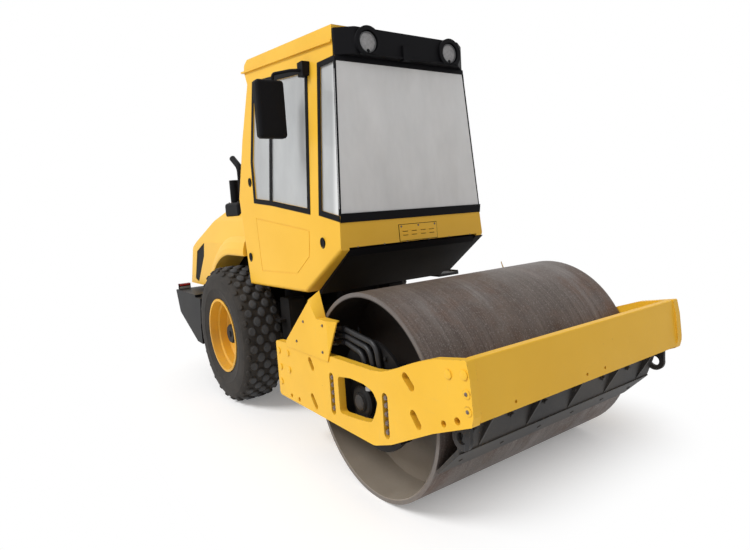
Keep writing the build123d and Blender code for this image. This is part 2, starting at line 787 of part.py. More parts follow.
def exhaust():
    # Intake housing on the hood with its short stack, and the bent exhaust pipe
    housing = cut(box(-1255, -905, -620, -450, 1690, 1826, 30), hood_body(0))
    stack = rod(level_plane(1800), -1150, -540, 44, 240)
    pipe_up = pipe([(-1020, -520, 1790), (-1020, -520, 2150), (-1180, -520, 2250)], 29, 90)
    return joined(housing, stack, pipe_up)


# Wheels

def tyre_sector():
    # One flat of the carcass: its cross-section drawn along the flat, between two spokes
    crown = TYRE_R - LUG_DEPTH
    half = TYRE_OUT - TYRE_Y
    half_flat = crown * tan(pi / TYRE_SIDES)
    right = [(half - 26, RIM_R), (half - 26, RIM_R + 8), (half, 470), (half - 14, crown - 45),
             (half - 50, crown)]
    section = right + [(-y, r) for y, r in right[::-1]]
    across = Plane(origin=(WHEEL_X - half_flat, TYRE_Y, TYRE_R), x_dir=(0, 1, 0), z_dir=(1, 0, 0))
    block = prism(across, [(y, -r) for y, r in section], 2 * half_flat)
    spokes = slab([(WHEEL_X, TYRE_R), (WHEEL_X - half_flat, TYRE_R - crown),
                   (WHEEL_X + half_flat, TYRE_R - crown)], TYRE_IN - 5, TYRE_OUT + 5)
    return shared(block, spokes)


def lug(y):
    length, width, slope = 49.0, 27.0, 22.0
    root = LUG_DEPTH + 8
    down = Plane(origin=(WHEEL_X, y, root), x_dir=(1, 0, 0), z_dir=(0, 0, -1))
    return prism(down, [(-length, 0), (-length + slope, -width), (length - slope, -width), (length, 0),
                        (length - slope, width), (-length + slope, width)], root)


def tyre(y_sign):
    axle = Axis((WHEEL_X, 0, TYRE_R), (0, 1, 0))
    sector = tyre_sector()
    pieces = []
    for flat in range(TYRE_SIDES):
        turn = 360 * flat / TYRE_SIDES
        pieces.append(sector.rotate(axle, turn))
        pieces += [lug(TYRE_Y + y).rotate(axle, turn) for y in LUG_ROWS[flat % 2::2]]
    return joined(*pieces) if y_sign > 0 else mirrored(joined(*pieces))


def rim(y_sign):
    profile = [(96, 690), (262, 690), (RIM_R - 14, 650), (RIM_R - 14, TYRE_IN + 24),
               (RIM_R, TYRE_IN + 24), (RIM_R, TYRE_OUT - 24), (RIM_R + 10, TYRE_OUT - 24),
               (RIM_R + 10, TYRE_OUT - 16), (RIM_R - 12, TYRE_OUT - 16), (RIM_R - 18, 820),
               (RIM_R - 34, 808), (RIM_R - 40, 740), (272, 726), (240, 712), (96, 712)]
    return spun(WHEEL_X, TYRE_R, [(r, y_sign * y) for r, y in profile])


def hub_cap(y_sign):
    # Planetary hub that fills the rim's centre hole
    profile = [(0, 646), (120, 646), (120, 689), (95, 689), (95, 713), (110, 713), (110, 728), (88, 740),
               (88, 806), (78, 818), (0, 818)]
    return spun(WHEEL_X, TYRE_R, [(r, y_sign * y) for r, y in profile])


# Steering cylinders

def cylinder_barrel(y):
    tube = rod(front_plane(-330), y, SWING_Z, 38, 290)
    eye = box(-400, -330, y - 25, y + 25, SWING_Z - 30, SWING_Z + 30)
    bore = rod(front_plane(-300), y, SWING_Z, CYLINDER_ROD_R + RUNNING, 300)
    return cut(joined(tube, eye), bore)


def cylinder_rod(y):
    bar = rod(front_plane(-200), y, SWING_Z, CYLINDER_ROD_R, 310)
    root = box(105, 140, y - 28, y + 28, SWING_Z - 48, SWING_Z + 48)
    tines = [box(140, PIVOT_X + 28, y - 28, y + 28, z, z + 20)
             for z in (SWING_Z - 48, SWING_Z + 28)]
    eye = rod(level_plane(SWING_Z - 60), PIVOT_X, y, 20, 120)
    return cut(joined(bar, root, *tines), eye)


pieces = {
    "drum_shell": drum_shell(),
    "drum_carriers": both_sides(drum_carrier()),
    "drum_hoses": joined(*drum_hoses()),
    "side_plates": both_sides(side_plate()),
    "front_beam": front_beam(),
    "rear_crossbeam": rear_crossbeam(),
    "lashing_eyes": both_sides(lashing_eye()),
    "scrapers": joined(front_scraper(), rear_scraper()),
    "hose_guards": both_sides(hose_guard()),
    "centre_joint": centre_joint(),
    "cylinder_barrels": joined(cylinder_barrel(-CYLINDER_Y), cylinder_barrel(CYLINDER_Y)),
    "cylinder_rod_right": cylinder_rod(-CYLINDER_Y),
    "cylinder_rod_left": cylinder_rod(CYLINDER_Y),
    "rear_frame": rear_frame(),
    "rear_axle": rear_axle(),
    "counterweight": counterweight(),
    "side_tanks": both_sides(side_tank()),
    "entry_step": entry_step(),
    "engine_block": engine_block(),
    "radiator": radiator(),
    "cab_shell": cab_shell(),
    "cab_floor": cab_floor(),
    "cab_nose": cab_nose(),
    "roof": roof(),
    "visor": visor(),
    "lamps": lamps(),
    "cab_glass": cab_glass(),
    "window_trim": window_trim(),
    "door_left": door_left(),
    "door_glass_left": door_glass_left(),
    "door_trim_left": door_trim_left(),
    "seat": seat(),
    "console": console(),
    "steering_wheel": steering_wheel(),
    "mirror_right": mirror_right(),
    "mirror_left": mirrored(mirror_right()),
    "hood": hood(),
    "grilles": grilles(),
    "exhaust": exhaust(),
    "tyre_right": tyre(-1),
    "tyre_left": tyre(1),
    "rim_right": rim(-1),
    "rim_left": rim(1),
    "hub_cap_right": hub_cap(-1),
    "hub_cap_left": hub_cap(1),
}
for name, part in pieces.items():
    write(part, name)
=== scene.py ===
"""Single-drum road roller with a closed cab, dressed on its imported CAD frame.

Metres. +X forward to the drum, +Y the machine's left, +Z up, ground at zero.
"""

from math import cos, pi, radians, sin

import bmesh
import bpy
from mathutils import Matrix, Vector


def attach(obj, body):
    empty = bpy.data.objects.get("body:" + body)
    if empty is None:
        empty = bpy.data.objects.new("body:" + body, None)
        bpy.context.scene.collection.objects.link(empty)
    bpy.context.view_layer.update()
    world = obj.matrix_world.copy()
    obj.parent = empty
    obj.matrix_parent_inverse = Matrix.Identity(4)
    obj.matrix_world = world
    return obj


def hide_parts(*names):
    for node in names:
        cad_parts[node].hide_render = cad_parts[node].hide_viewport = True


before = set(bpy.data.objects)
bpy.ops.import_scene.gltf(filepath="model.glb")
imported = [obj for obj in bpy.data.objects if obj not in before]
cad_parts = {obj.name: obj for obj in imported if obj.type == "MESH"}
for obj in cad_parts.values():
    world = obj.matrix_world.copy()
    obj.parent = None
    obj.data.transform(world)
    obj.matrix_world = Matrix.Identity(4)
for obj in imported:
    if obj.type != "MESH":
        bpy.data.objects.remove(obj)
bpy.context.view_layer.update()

# Sizes shared with the frame

DRUM_AXIS = Vector((1.417, 0.0, 0.610))
WHEEL_AXIS = Vector((-0.883, 0.0, 0.6225))
TYRE_MID = 0.721
PLATE_FACE, BAR_FACE, GUARD_FACE = 0.905, 0.857, 0.913
HOSE_LINE = 0.822
MOTOR_FACE = 0.814
CAB_HALF, CAB_SILL, CAB_FRONT = 0.639, 1.663, 0.917
CAB_LEAN, CAB_TAPER = 0.0736, 0.052


def cab_side(x, z, out=0.0):
    # Half width of the leaning, tapering cab at a place on its side
    return CAB_HALF - CAB_LEAN * (z - CAB_SILL) - CAB_TAPER * (x - CAB_FRONT) + out


# Camera, light and floor

def place_camera():
    # The photograph's own view: from the right, ahead and just above the hood
    turn, dip, roll = radians(34.725), radians(7.07), radians(-3.739)
    forward = Vector((-cos(turn) * cos(dip), sin(turn) * cos(dip), -sin(dip)))
    right = forward.cross(Vector((0, 0, 1))).normalized()
    up = right.cross(forward)
    right, up = cos(roll) * right + sin(roll) * up, cos(roll) * up - sin(roll) * right
    camera = bpy.data.cameras.new("photo_camera")
    camera.sensor_width = 36.0
    camera.lens = 36.0 * 545.096 / 750
    holder = bpy.data.objects.new("photo_camera", camera)
    holder.matrix_world = Matrix((
        (right.x, up.x, -forward.x, 3.967),
        (right.y, up.y, -forward.y, -2.508),
        (right.z, up.z, -forward.z, 1.696),
        (0, 0, 0, 1)))
    bpy.context.scene.collection.objects.link(holder)
    bpy.context.scene.camera = holder


def aim(holder, toward):
    holder.rotation_euler = Vector(toward).to_track_quat("-Z", "Y").to_euler()
    bpy.context.scene.collection.objects.link(holder)


def sun_lamp(name, toward, softness, power):
    lamp = bpy.data.lights.new(name, "SUN")
    lamp.energy = power
    lamp.angle = radians(softness)
    aim(bpy.data.objects.new(name, lamp), toward)


def seen_rays(nodes, links):
    # One for rays that show the background itself: straight, mirrored or through glass
    path = nodes.new("ShaderNodeLightPath")
    total = path.outputs["Is Camera Ray"]
    for other in ("Is Transmission Ray", "Is Glossy Ray"):
        larger = nodes.new("ShaderNodeMath")
        larger.operation = "MAXIMUM"
        links.new(total, larger.inputs[0])
        links.new(path.outputs[other], larger.inputs[1])
        total = larger.outputs[0]
    return total


def light_studio():
    sun_lamp("side_light", (0.26, 1.0, -1.05), 26, 2.25)
    sun_lamp("front_light", (-1.0, 0.35, -0.55), 40, 0.18)
    world = bpy.data.worlds.new("studio")
    bpy.context.scene.world = world
    world.use_nodes = True
    nodes, links = world.node_tree.nodes, world.node_tree.links
    nodes.clear()
    out = nodes.new("ShaderNodeOutputWorld")
    soft = nodes.new("ShaderNodeBackground")
    soft.inputs["Color"].default_value = (1.0, 0.965, 0.945, 1)
    soft.inputs["Strength"].default_value = 0.42
    white = nodes.new("ShaderNodeBackground")
    white.inputs["Color"].default_value = (1, 1, 1, 1)
    pick = nodes.new("ShaderNodeMixShader")
    links.new(seen_rays(nodes, links), pick.inputs["Fac"])
    links.new(soft.outputs[0], pick.inputs[1])
    links.new(white.outputs[0], pick.inputs[2])
    links.new(pick.outputs[0], out.inputs["Surface"])
    bpy.context.scene.view_settings.view_transform = "Standard"


def lay_floor():
    # White where it is seen, apart from the soft shadow beside the machine's footprint
    reach = 60.0
    footprint_shift, footprint = (0.40, 0.0, 0.0), (1.90, 0.84, 0.0)
    shadow_near, shadow_far = 0.05, 0.95
    mesh = bpy.data.meshes.new("studio_floor")
    mesh.from_pydata([(-reach, -reach, 0), (reach, -reach, 0), (reach, reach, 0), (-reach, reach, 0)],
                     [], [(0, 1, 2, 3)])
    floor = bpy.data.objects.new("studio_floor", mesh)
    bpy.context.scene.collection.objects.link(floor)
    material = bpy.data.materials.new("studio_floor")
    material.use_nodes = True
    nodes, links = material.node_tree.nodes, material.node_tree.links
    nodes.clear()
    out = nodes.new("ShaderNodeOutputMaterial")
    matt = nodes.new("ShaderNodeBsdfDiffuse")
    matt.inputs["Color"].default_value = (0.92, 0.92, 0.92, 1)
    glow = nodes.new("ShaderNodeEmission")
    glow.inputs["Strength"].default_value = 0.20
    both = nodes.new("ShaderNodeAddShader")
    links.new(matt.outputs[0], both.inputs[0])
    links.new(glow.outputs[0], both.inputs[1])
    white = nodes.new("ShaderNodeEmission")
    far = nodes.new("ShaderNodeMapRange")
    far.interpolation_type = "SMOOTHSTEP"
    far.inputs["From Min"].default_value = shadow_near
    far.inputs["From Max"].default_value = shadow_far
    place = nodes.new("ShaderNodeTexCoord").outputs["Object"]
    for operation, other in (("ADD", footprint_shift), ("ABSOLUTE", None), ("SUBTRACT", footprint),
                             ("MAXIMUM", (0, 0, 0)), ("LENGTH", None)):
        step = nodes.new("ShaderNodeVectorMath")
        step.operation = operation
        links.new(place, step.inputs[0])
        if other is not None:
            step.inputs[1].default_value = other
        place = step.outputs["Value" if operation == "LENGTH" else "Vector"]
    links.new(place, far.inputs["Value"])
    near_or_far = nodes.new("ShaderNodeMixShader")
    links.new(far.outputs[0], near_or_far.inputs["Fac"])
    links.new(both.outputs[0], near_or_far.inputs[1])
    links.new(white.outputs[0], near_or_far.inputs[2])
    pick = nodes.new("ShaderNodeMixShader")
    links.new(seen_rays(nodes, links), pick.inputs["Fac"])
    links.new(matt.outputs[0], pick.inputs[1])
    links.new(near_or_far.outputs[0], pick.inputs[2])
    links.new(pick.outputs[0], out.inputs["Surface"])
    mesh.materials.append(material)


# Shader node groups that several finishes share

class Shading:
    """Adds nodes to one tree and wires them by value or socket."""

    def __init__(self, tree):
        self.tree = tree

    def add(self, kind, **settings):
        node = self.tree.nodes.new(kind)
        for key, value in settings.items():
            setattr(node, key, value)
        return node

    def feed(self, socket, value):
        if isinstance(value, bpy.types.NodeSocket):
            self.tree.links.new(value, socket)
        else:
            socket.default_value = value

    def math(self, kind, a, b=0.0, clamp=False):
        node = self.add("ShaderNodeMath", operation=kind, use_clamp=clamp)
        self.feed(node.inputs[0], a)
        self.feed(node.inputs[1], b)
        return node.outputs[0]

    def times(self, *values):
        total = values[0]
        for value in values[1:]:
            total = self.math("MULTIPLY", total, value)
        return total

    def stretch(self, value, low, high):
        node = self.add("ShaderNodeMapRange")
        self.feed(node.inputs["Value"], value)
        self.feed(node.inputs["From Min"], low)
        self.feed(node.inputs["From Max"], high)
        return node.outputs["Result"]

    def noise(self, vector, scale, detail=4.0, rough=0.6):
        node = self.add("ShaderNodeTexNoise")
        self.feed(node.inputs["Vector"], vector)
        self.feed(node.inputs["Scale"], scale)
        node.inputs["Detail"].default_value = detail
        node.inputs["Roughness"].default_value = rough
        return node.outputs["Fac"]

    def scaled(self, vector, scale, shift=(0, 0, 0), turn=(0, 0, 0)):
        node = self.add("ShaderNodeMapping")
        self.feed(node.inputs["Vector"], vector)
        node.inputs["Scale"].default_value = scale
        node.inputs["Location"].default_value = shift
        node.inputs["Rotation"].default_value = turn
        return node.outputs["Vector"]

    def blend(self, factor, a, b):
        node = self.add("ShaderNodeMix", data_type="RGBA")
        self.feed(node.inputs["Factor"], factor)
        self.feed(node.inputs[6], a)
        self.feed(node.inputs[7], b)
        return node.outputs[2]

    def place(self):
        return self.add("ShaderNodeTexCoord").outputs["Object"]

    def parts(self, vector):
        node = self.add("ShaderNodeSeparateXYZ")
        self.feed(node.inputs[0], vector)
        return node.outputs

    def join(self, x=0.0, y=0.0, z=0.0):
        node = self.add("ShaderNodeCombineXYZ")
        for socket, value in zip(node.inputs, (x, y, z)):
            self.feed(socket, value)
        return node.outputs[0]

    def radius(self, axis):
        # Distance from a line along Y through the given place
        flat = self.scaled(self.place(), (1, 0, 1), (-axis.x, 0, -axis.z))
        node = self.add("ShaderNodeVectorMath", operation="LENGTH")
        self.feed(node.inputs[0], flat)
        return node.outputs["Value"]


def group_of(name, inputs, outputs):
    tree = bpy.data.node_groups.new(name, "ShaderNodeTree")
    for title, start in inputs:
        socket = tree.interface.new_socket(name=title, in_out="INPUT", socket_type="NodeSocketFloat")
        socket.default_value = start
    for title in outputs:
        tree.interface.new_socket(name=title, in_out="OUTPUT", socket_type="NodeSocketFloat")
    entry = tree.nodes.new("NodeGroupInput")
    leave = tree.nodes.new("NodeGroupOutput")
    return tree, Shading(tree), entry.outputs, leave.inputs


def make_road_dust():
    # Dust and splashes that thicken toward the ground and lie on upward faces
    tree, shade, given, result = group_of("road_dust", [("Amount", 0.5), ("Reach", 1.4)], ["Mask"])
    place = shade.place()
    height = shade.stretch(shade.parts(place)["Z"], given["Reach"], 0.0)
    broad = shade.noise(place, 2.3, 5.0)
    fine = shade.noise(place, 38.0, 6.0, 0.75)
    patch = shade.stretch(shade.math("ADD", shade.times(broad, 0.7), shade.times(fine, 0.3)), 0.38, 0.7)
    facing = shade.parts(shade.add("ShaderNodeNewGeometry").outputs["Normal"])
    laid = shade.math("MAXIMUM", height, shade.times(shade.stretch(facing["Z"], 0.3, 1.0), 0.45))
    amount = shade.math("MULTIPLY", shade.times(laid, patch), given["Amount"], clamp=True)
    shade.feed(result["Mask"], amount)
    return tree


def make_edge_wear():
    # Bare or rubbed edges, found where a rounded normal leaves the true one
    tree, shade, given, result = group_of(
        "edge_wear", [("Width", 0.006), ("Amount", 0.6), ("Break", 45.0)], ["Mask"])
    bevel = shade.add("ShaderNodeBevel", samples=4)
    shade.feed(bevel.inputs["Radius"], given["Width"])
    dot = shade.add("ShaderNodeVectorMath", operation="DOT_PRODUCT")
    shade.feed(dot.inputs[0], bevel.outputs[0])
    shade.feed(dot.inputs[1], shade.add("ShaderNodeNewGeometry").outputs["Normal"])
    edge = shade.stretch(dot.outputs["Value"], 0.985, 0.86)
    broken = shade.stretch(shade.noise(shade.place(), given["Break"], 5.0, 0.7), 0.5, 0.64)
    worn = shade.times(edge, broken)
    shade.feed(result["Mask"], shade.math("MULTIPLY", worn, given["Amount"], clamp=True))
    return tree


def make_scuffs():
    # Thin scratches in two directions and small rust spots
    tree, shade, given, result = group_of(
        "scuffs", [("Density", 0.5), ("Scale", 1.0)], ["Scratches", "Spots"])
    place = shade.place()
    lines = []
    for turn, squeeze in (((0.3, 0.9, 0.2), (90, 90, 3)), ((1.1, 0.2, 0.7), (4, 120, 120))):
        run = shade.noise(shade.scaled(place, squeeze, (0, 0, 0), turn), 1.0, 2.0, 0.5)
        lines.append(shade.stretch(run, 0.69, 0.73))
    patch = shade.stretch(shade.noise(place, 5.0, 3.0), 0.52, 0.66)
    marks = shade.math("MAXIMUM", *lines)
    shade.feed(result["Scratches"], shade.times(marks, patch, given["Density"]))
    dots = shade.stretch(shade.noise(place, 70.0, 2.0, 0.4), 0.74, 0.78)
    shade.feed(result["Spots"], shade.times(dots, shade.stretch(shade.noise(place, 3.0, 2.0), 0.5, 0.6),
                                            given["Scale"]))
    return tree


def make_rolling_scrapes():
    # Marks round a part that turns about the Y axis
    tree, shade, given, result = group_of("rolling_scrapes", [("Fineness", 60.0)], ["Scrapes", "Bands"])
    where = shade.parts(shade.place())
    lines = shade.noise(shade.join(shade.times(where["X"], 1.6), shade.times(where["Y"], given["Fineness"]),
                                   shade.times(where["Z"], 1.6)), 1.0, 6.0, 0.72)
    shade.feed(result["Scrapes"], lines)
    wide = shade.join(shade.times(where["X"], 0.9), shade.times(where["Y"], 6.0),
                      shade.times(where["Z"], 0.9))
    shade.feed(result["Bands"], shade.noise(wide, 1.0, 4.0, 0.6))
    return tree


road_dust = make_road_dust()
edge_wear = make_edge_wear()
scuffs = make_scuffs()
rolling_scrapes = make_rolling_scrapes()


# Finishes

class Finish:
    """One material: a Principled shader whose inputs come from shared groups."""

    def __init__(self, name, **plain):
        self.material = bpy.data.materials.new(name)
        self.material.use_nodes = True
        self.shade = Shading(self.material.node_tree)
        self.shader = self.material.node_tree.nodes["Principled BSDF"]
        for key, value in plain.items():
            self.shader.inputs[key.replace("_", " ").title().replace("Ior", "IOR")].default_value = value

    def use(self, tree, **values):
        node = self.shade.add("ShaderNodeGroup", node_tree=tree)
        for key, value in values.items():
            self.shade.feed(node.inputs[key], value)
        return node.outputs

    def give(self, socket, value):
        self.shade.feed(self.shader.inputs[socket], value)

    def bump(self, height, distance, strength=1.0):
        node = self.shade.add("ShaderNodeBump")
        node.inputs["Distance"].default_value = distance
        node.inputs["Strength"].default_value = strength
        self.shade.feed(node.inputs["Height"], height)
        self.give("Normal", node.outputs[0])


DUST = (0.24, 0.20, 0.15, 1)
RUST = (0.10, 0.035, 0.015, 1)


def painted(name, colour, faded, rough, dust=0.5, wear=0.6, marks=0.4, under=(0.05, 0.035, 0.03, 1),
            reach=1.3, shine=0.5):
    finish = Finish(name, specular_ior_level=shine)
    shade = finish.shade
    place = shade.place()
    tone = shade.blend(shade.stretch(shade.noise(place, 1.7, 3.0), 0.35, 0.7), colour, faded)
    marked = finish.use(scuffs, Density=marks, Scale=marks)
    scratched = tuple(0.6 * c + 0.12 for c in colour[:3]) + (1,)
    tone = shade.blend(shade.times(marked["Scratches"], 0.5), tone, scratched)
    tone = shade.blend(marked["Spots"], tone, RUST)
    worn = finish.use(edge_wear, Width=0.005, Amount=wear)["Mask"]
    dirt = finish.use(road_dust, Amount=dust, Reach=reach)["Mask"]
    finish.give("Base Color", shade.blend(dirt, shade.blend(worn, tone, under), DUST))
    gloss = shade.math("ADD", rough, shade.times(dirt, 0.4))
    fine = shade.noise(place, 160.0, 3.0)
    finish.give("Roughness", shade.math("ADD", gloss, shade.times(fine, 0.08), clamp=True))
    finish.bump(shade.noise(place, 260.0, 2.0), 0.0004, 0.3)
    return finish.material


def worn_steel(name):
    # Rolled drum steel: brown-grey outside, pale at the rim edges; inside the shell a near-black painted
    # shade that gives way to pale settled dust toward the bottom
    finish = Finish(name, metallic=0.15, specular_ior_level=0.35)
    shade = finish.shade
    place = shade.place()
    rounds = finish.use(rolling_scrapes)
    base = shade.blend(shade.stretch(rounds["Scrapes"], 0.34, 0.68), (0.060, 0.042, 0.036, 1),
                       (0.165, 0.135, 0.122, 1))
    rust = shade.stretch(shade.noise(place, 3.1, 6.0, 0.7), 0.5, 0.7)
    base = shade.blend(shade.times(rust, 0.5), base, (0.17, 0.095, 0.065, 1))
    bands = shade.times(shade.stretch(rounds["Bands"], 0.52, 0.68), 0.4)
    base = shade.blend(bands, base, (0.25, 0.23, 0.22, 1))
    patches = shade.stretch(shade.noise(place, 2.4, 5.0, 0.65), 0.42, 0.66)
    base = shade.blend(shade.times(patches, 0.55), base, (0.045, 0.034, 0.030, 1))
    grit = shade.stretch(shade.noise(place, 105.0, 5.0, 0.8), 0.55, 0.64)
    base = shade.blend(shade.times(grit, 0.5), base, (0.36, 0.34, 0.32, 1))
    radius = shade.radius(DRUM_AXIS)
    aside = shade.math("ABSOLUTE", shade.parts(place)["Y"])
    rim = shade.times(shade.stretch(aside, 0.832, 0.838), shade.stretch(radius, 0.583, 0.590))
    base = shade.blend(shade.times(rim, 0.6), base, (0.17, 0.155, 0.145, 1))
    # Painted shade inside the shell: near black higher up, blending to pale settled dust toward the ground
    inside = shade.stretch(radius, 0.590, 0.583)
    low = shade.stretch(shade.parts(place)["Z"], 0.42, 0.10)
    inner_shade_and_dust = shade.blend(low, (0.022, 0.017, 0.014, 1), (0.33, 0.285, 0.235, 1))
    base = shade.blend(inside, base, inner_shade_and_dust)
    dirt = finish.use(road_dust, Amount=0.5, Reach=0.5)["Mask"]
    finish.give("Base Color", shade.blend(dirt, base, DUST))
    finish.give("Roughness", shade.math("ADD", 0.48, shade.times(rust, 0.3)))
    finish.bump(shade.math("ADD", rounds["Scrapes"], shade.times(grit, 0.3)), 0.0015, 0.5)
    return finish.material


def moulded(name, colour, rough, grain=180.0, dust=0.3, shine=0.3):
    finish = Finish(name, specular_ior_level=shine)
    shade = finish.shade
    place = shade.place()
    cloud = shade.noise(place, 4.0, 4.0)
    tone = shade.blend(cloud, colour, tuple(1.7 * c for c in colour[:3]) + (1,))
    dirt = finish.use(road_dust, Amount=dust, Reach=1.2)["Mask"]
    finish.give("Base Color", shade.blend(dirt, tone, (0.12, 0.105, 0.085, 1)))
    finish.give("Roughness", shade.math("ADD", rough, shade.times(cloud, 0.15)))
    finish.bump(shade.noise(place, grain, 4.0), 0.0006, 0.5)
    return finish.material


def tread_rubber(name):
    # Dusty carcass and hollows, darker bluish tops where the blocks are rubbed
    finish = Finish(name, specular_ior_level=0.25)
    shade = finish.shade
    place = shade.place()
    cloud = shade.noise(place, 9.0, 6.0, 0.7)
    wall = shade.blend(shade.stretch(cloud, 0.3, 0.75), (0.016, 0.014, 0.012, 1), (0.046, 0.040, 0.035, 1))
    tops = shade.stretch(shade.radius(WHEEL_AXIS), 0.606, 0.617)
    tone = shade.blend(tops, wall, shade.blend(cloud, (0.034, 0.035, 0.037, 1), (0.085, 0.086, 0.090, 1)))
    finish.give("Base Color", tone)
    finish.give("Roughness", shade.math("ADD", 0.62, shade.times(cloud, 0.25)))
    finish.bump(shade.noise(place, 110.0, 5.0), 0.0012, 0.45)
    return finish.material


def pane(name):
    finish = Finish(name, roughness=0.03, specular_ior_level=0.5)
    shade = finish.shade
    place = shade.place()
    # Painted reflection: the panes' pale grey, streaked base colour and their opacity stand for the white
    # surroundings mirrored in the glass, near white on the windscreen ahead
    reflection_streaks = shade.noise(shade.scaled(place, (2.2, 2.2, 0.9)), 1.6, 4.0)
    tone = shade.blend(reflection_streaks, (0.48, 0.50, 0.51, 1), (0.62, 0.64, 0.65, 1))
    windscreen_painted_reflection = shade.blend(reflection_streaks, (0.80, 0.82, 0.83, 1), (0.93, 0.94, 0.95, 1))
    ahead = shade.stretch(shade.parts(place)["X"], 0.82, 0.86)
    finish.give("Base Color", shade.blend(ahead, tone, windscreen_painted_reflection))
    finish.give("Alpha", shade.math("ADD", 0.60, shade.times(reflection_streaks, 0.22)))
    return finish.material


def plated(name, colour=(0.72, 0.73, 0.75, 1), rough=0.12):
    finish = Finish(name, metallic=1.0)
    shade = finish.shade
    rings = shade.noise(shade.scaled(shade.place(), (400.0, 30.0, 30.0)), 1.0, 3.0)
    darker = tuple(0.75 * c for c in colour[:3]) + (1,)
    finish.give("Base Color", shade.blend(rings, darker, colour))
    finish.give("Roughness", shade.math("ADD", rough, shade.times(rings, 0.15)))
    return finish.material


def rusty_steel(name):
    finish = Finish(name, metallic=0.3)
    shade = finish.shade
    cloud = shade.noise(shade.place(), 90.0, 5.0, 0.7)
    finish.give("Base Color", shade.blend(shade.stretch(cloud, 0.35, 0.65), (0.09, 0.04, 0.022, 1),
                                          (0.26, 0.22, 0.20, 1)))
    finish.give("Roughness", shade.math("ADD", 0.5, shade.times(cloud, 0.3)))
    finish.bump(cloud, 0.001, 0.6)
    return finish.material


def lens(name, dark, light, alpha):
    # Ribbed lamp lens
    finish = Finish(name, roughness=0.12)
    shade = finish.shade
    place = shade.place()
    ribs = shade.add("ShaderNodeTexWave", bands_direction="Y")
    shade.feed(ribs.inputs["Vector"], place)
    ribs.inputs["Scale"].default_value = 34.0
    cells = shade.noise(place, 60.0, 3.0)
    finish.give("Base Color", shade.blend(shade.math("ADD", shade.times(ribs.outputs["Fac"], 0.5),
                                                     shade.times(cells, 0.5)), dark, light))
    finish.give("Alpha", shade.math("ADD", alpha, shade.times(cells, 0.1)))
    finish.bump(ribs.outputs["Fac"], 0.002, 0.6)
    return finish.material


def woven(name, dark, light):
    # Seat cloth: a fine two-way weave with a cloudy variation in tone
    finish = Finish(name, roughness=0.92, sheen_weight=0.3, specular_ior_level=0.2)
    shade = finish.shade
    place = shade.place()
    threads = []
    for direction in ("X", "Y"):
        wave = shade.add("ShaderNodeTexWave", bands_direction=direction)
        shade.feed(wave.inputs["Vector"], place)
        wave.inputs["Scale"].default_value = 260.0
        threads.append(wave.outputs["Fac"])
    weave = shade.math("MAXIMUM", *threads)
    cloud = shade.noise(place, 8.0, 4.0)
    finish.give("Base Color", shade.blend(shade.math("ADD", shade.times(weave, 0.6), shade.times(cloud, 0.4)),
                                          dark, light))
    finish.bump(weave, 0.0008, 0.6)
    return finish.material


cab_yellow = painted("cab_yellow", (0.84, 0.475, 0.030, 1), (0.88, 0.51, 0.040, 1), 0.36, shine=0.35,
                     dust=0.10, wear=0.15, marks=0.06, reach=1.6)
frame_yellow = painted("frame_yellow", (0.84, 0.475, 0.026, 1), (0.88, 0.51, 0.036, 1), 0.40, shine=0.3,
                       dust=0.16, wear=0.75, marks=0.5)
rim_yellow = painted("rim_yellow", (0.72, 0.36, 0.020, 1), (0.82, 0.44, 0.035, 1), 0.45, shine=0.3,
                     dust=0.8, wear=0.5, marks=0.6, reach=1.1)
black = painted("black_paint", (0.006, 0.006, 0.007, 1), (0.014, 0.014, 0.015, 1), 0.42,
                dust=0.10, wear=0.30, marks=0.30, under=(0.05, 0.042, 0.036, 1), shine=0.10)
scraped_black = painted("scraped_black", (0.012, 0.012, 0.014, 1), (0.028, 0.028, 0.030, 1), 0.5,
                        dust=0.30, wear=0.9, marks=1.2, under=(0.14, 0.12, 0.10, 1), shine=0.25)
drum_steel = worn_steel("drum_steel")
black_plastic = moulded("black_plastic", (0.005, 0.005, 0.006, 1), 0.5, dust=0.06, shine=0.08)
grey_plastic = moulded("grey_plastic", (0.085, 0.088, 0.092, 1), 0.55, dust=0.1)
hose_rubber = moulded("hose_rubber", (0.008, 0.008, 0.009, 1), 0.38, grain=400.0, dust=0.12, shine=0.35)
tyre_rubber = tread_rubber("tyre_rubber")
clear_pane = pane("clear_pane")
lamp_lens = lens("lamp_lens", (0.10, 0.10, 0.105, 1), (0.52, 0.52, 0.53, 1), 0.88)
tail_red = lens("tail_red", (0.20, 0.004, 0.004, 1), (0.55, 0.02, 0.015, 1), 0.98)
chrome = plated("chrome")
mirror_glass = plated("mirror_glass", (0.86, 0.88, 0.90, 1), 0.01)
old_bolt = rusty_steel("old_bolt")
zinc = plated("zinc", (0.42, 0.41, 0.40, 1), 0.35)
seat_cloth = woven("seat_cloth", (0.018, 0.018, 0.020, 1), (0.060, 0.060, 0.064, 1))

FINISH_OF_SLOT = {"yellow_paint": cab_yellow, "black_paint": black, "drum_steel": drum_steel,
                  "chrome": chrome, "black_plastic": black_plastic, "glass": clear_pane,
                  "lamp_lens": lamp_lens, "hose_rubber": hose_rubber, "tyre": tyre_rubber}
FINISH_OF_NODE = {"side_plates": frame_yellow, "front_beam": frame_yellow, "hose_guards": frame_yellow,
                  "rear_crossbeam": frame_yellow, "rim_right": rim_yellow, "rim_left": rim_yellow,
                  "scrapers": scraped_black, "lashing_eyes": scraped_black, "entry_step": scraped_black,
                  "console": grey_plastic, "cab_floor": grey_plastic}


def dress_nodes():
    # Each CAD node takes its own finish, or that of its slot
    for node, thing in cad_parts.items():
        for holder in thing.material_slots:
            title = holder.material.name.split(".")[0]
            holder.material = FINISH_OF_NODE.get(node, FINISH_OF_SLOT.get(title, black_plastic))


# Making pieces

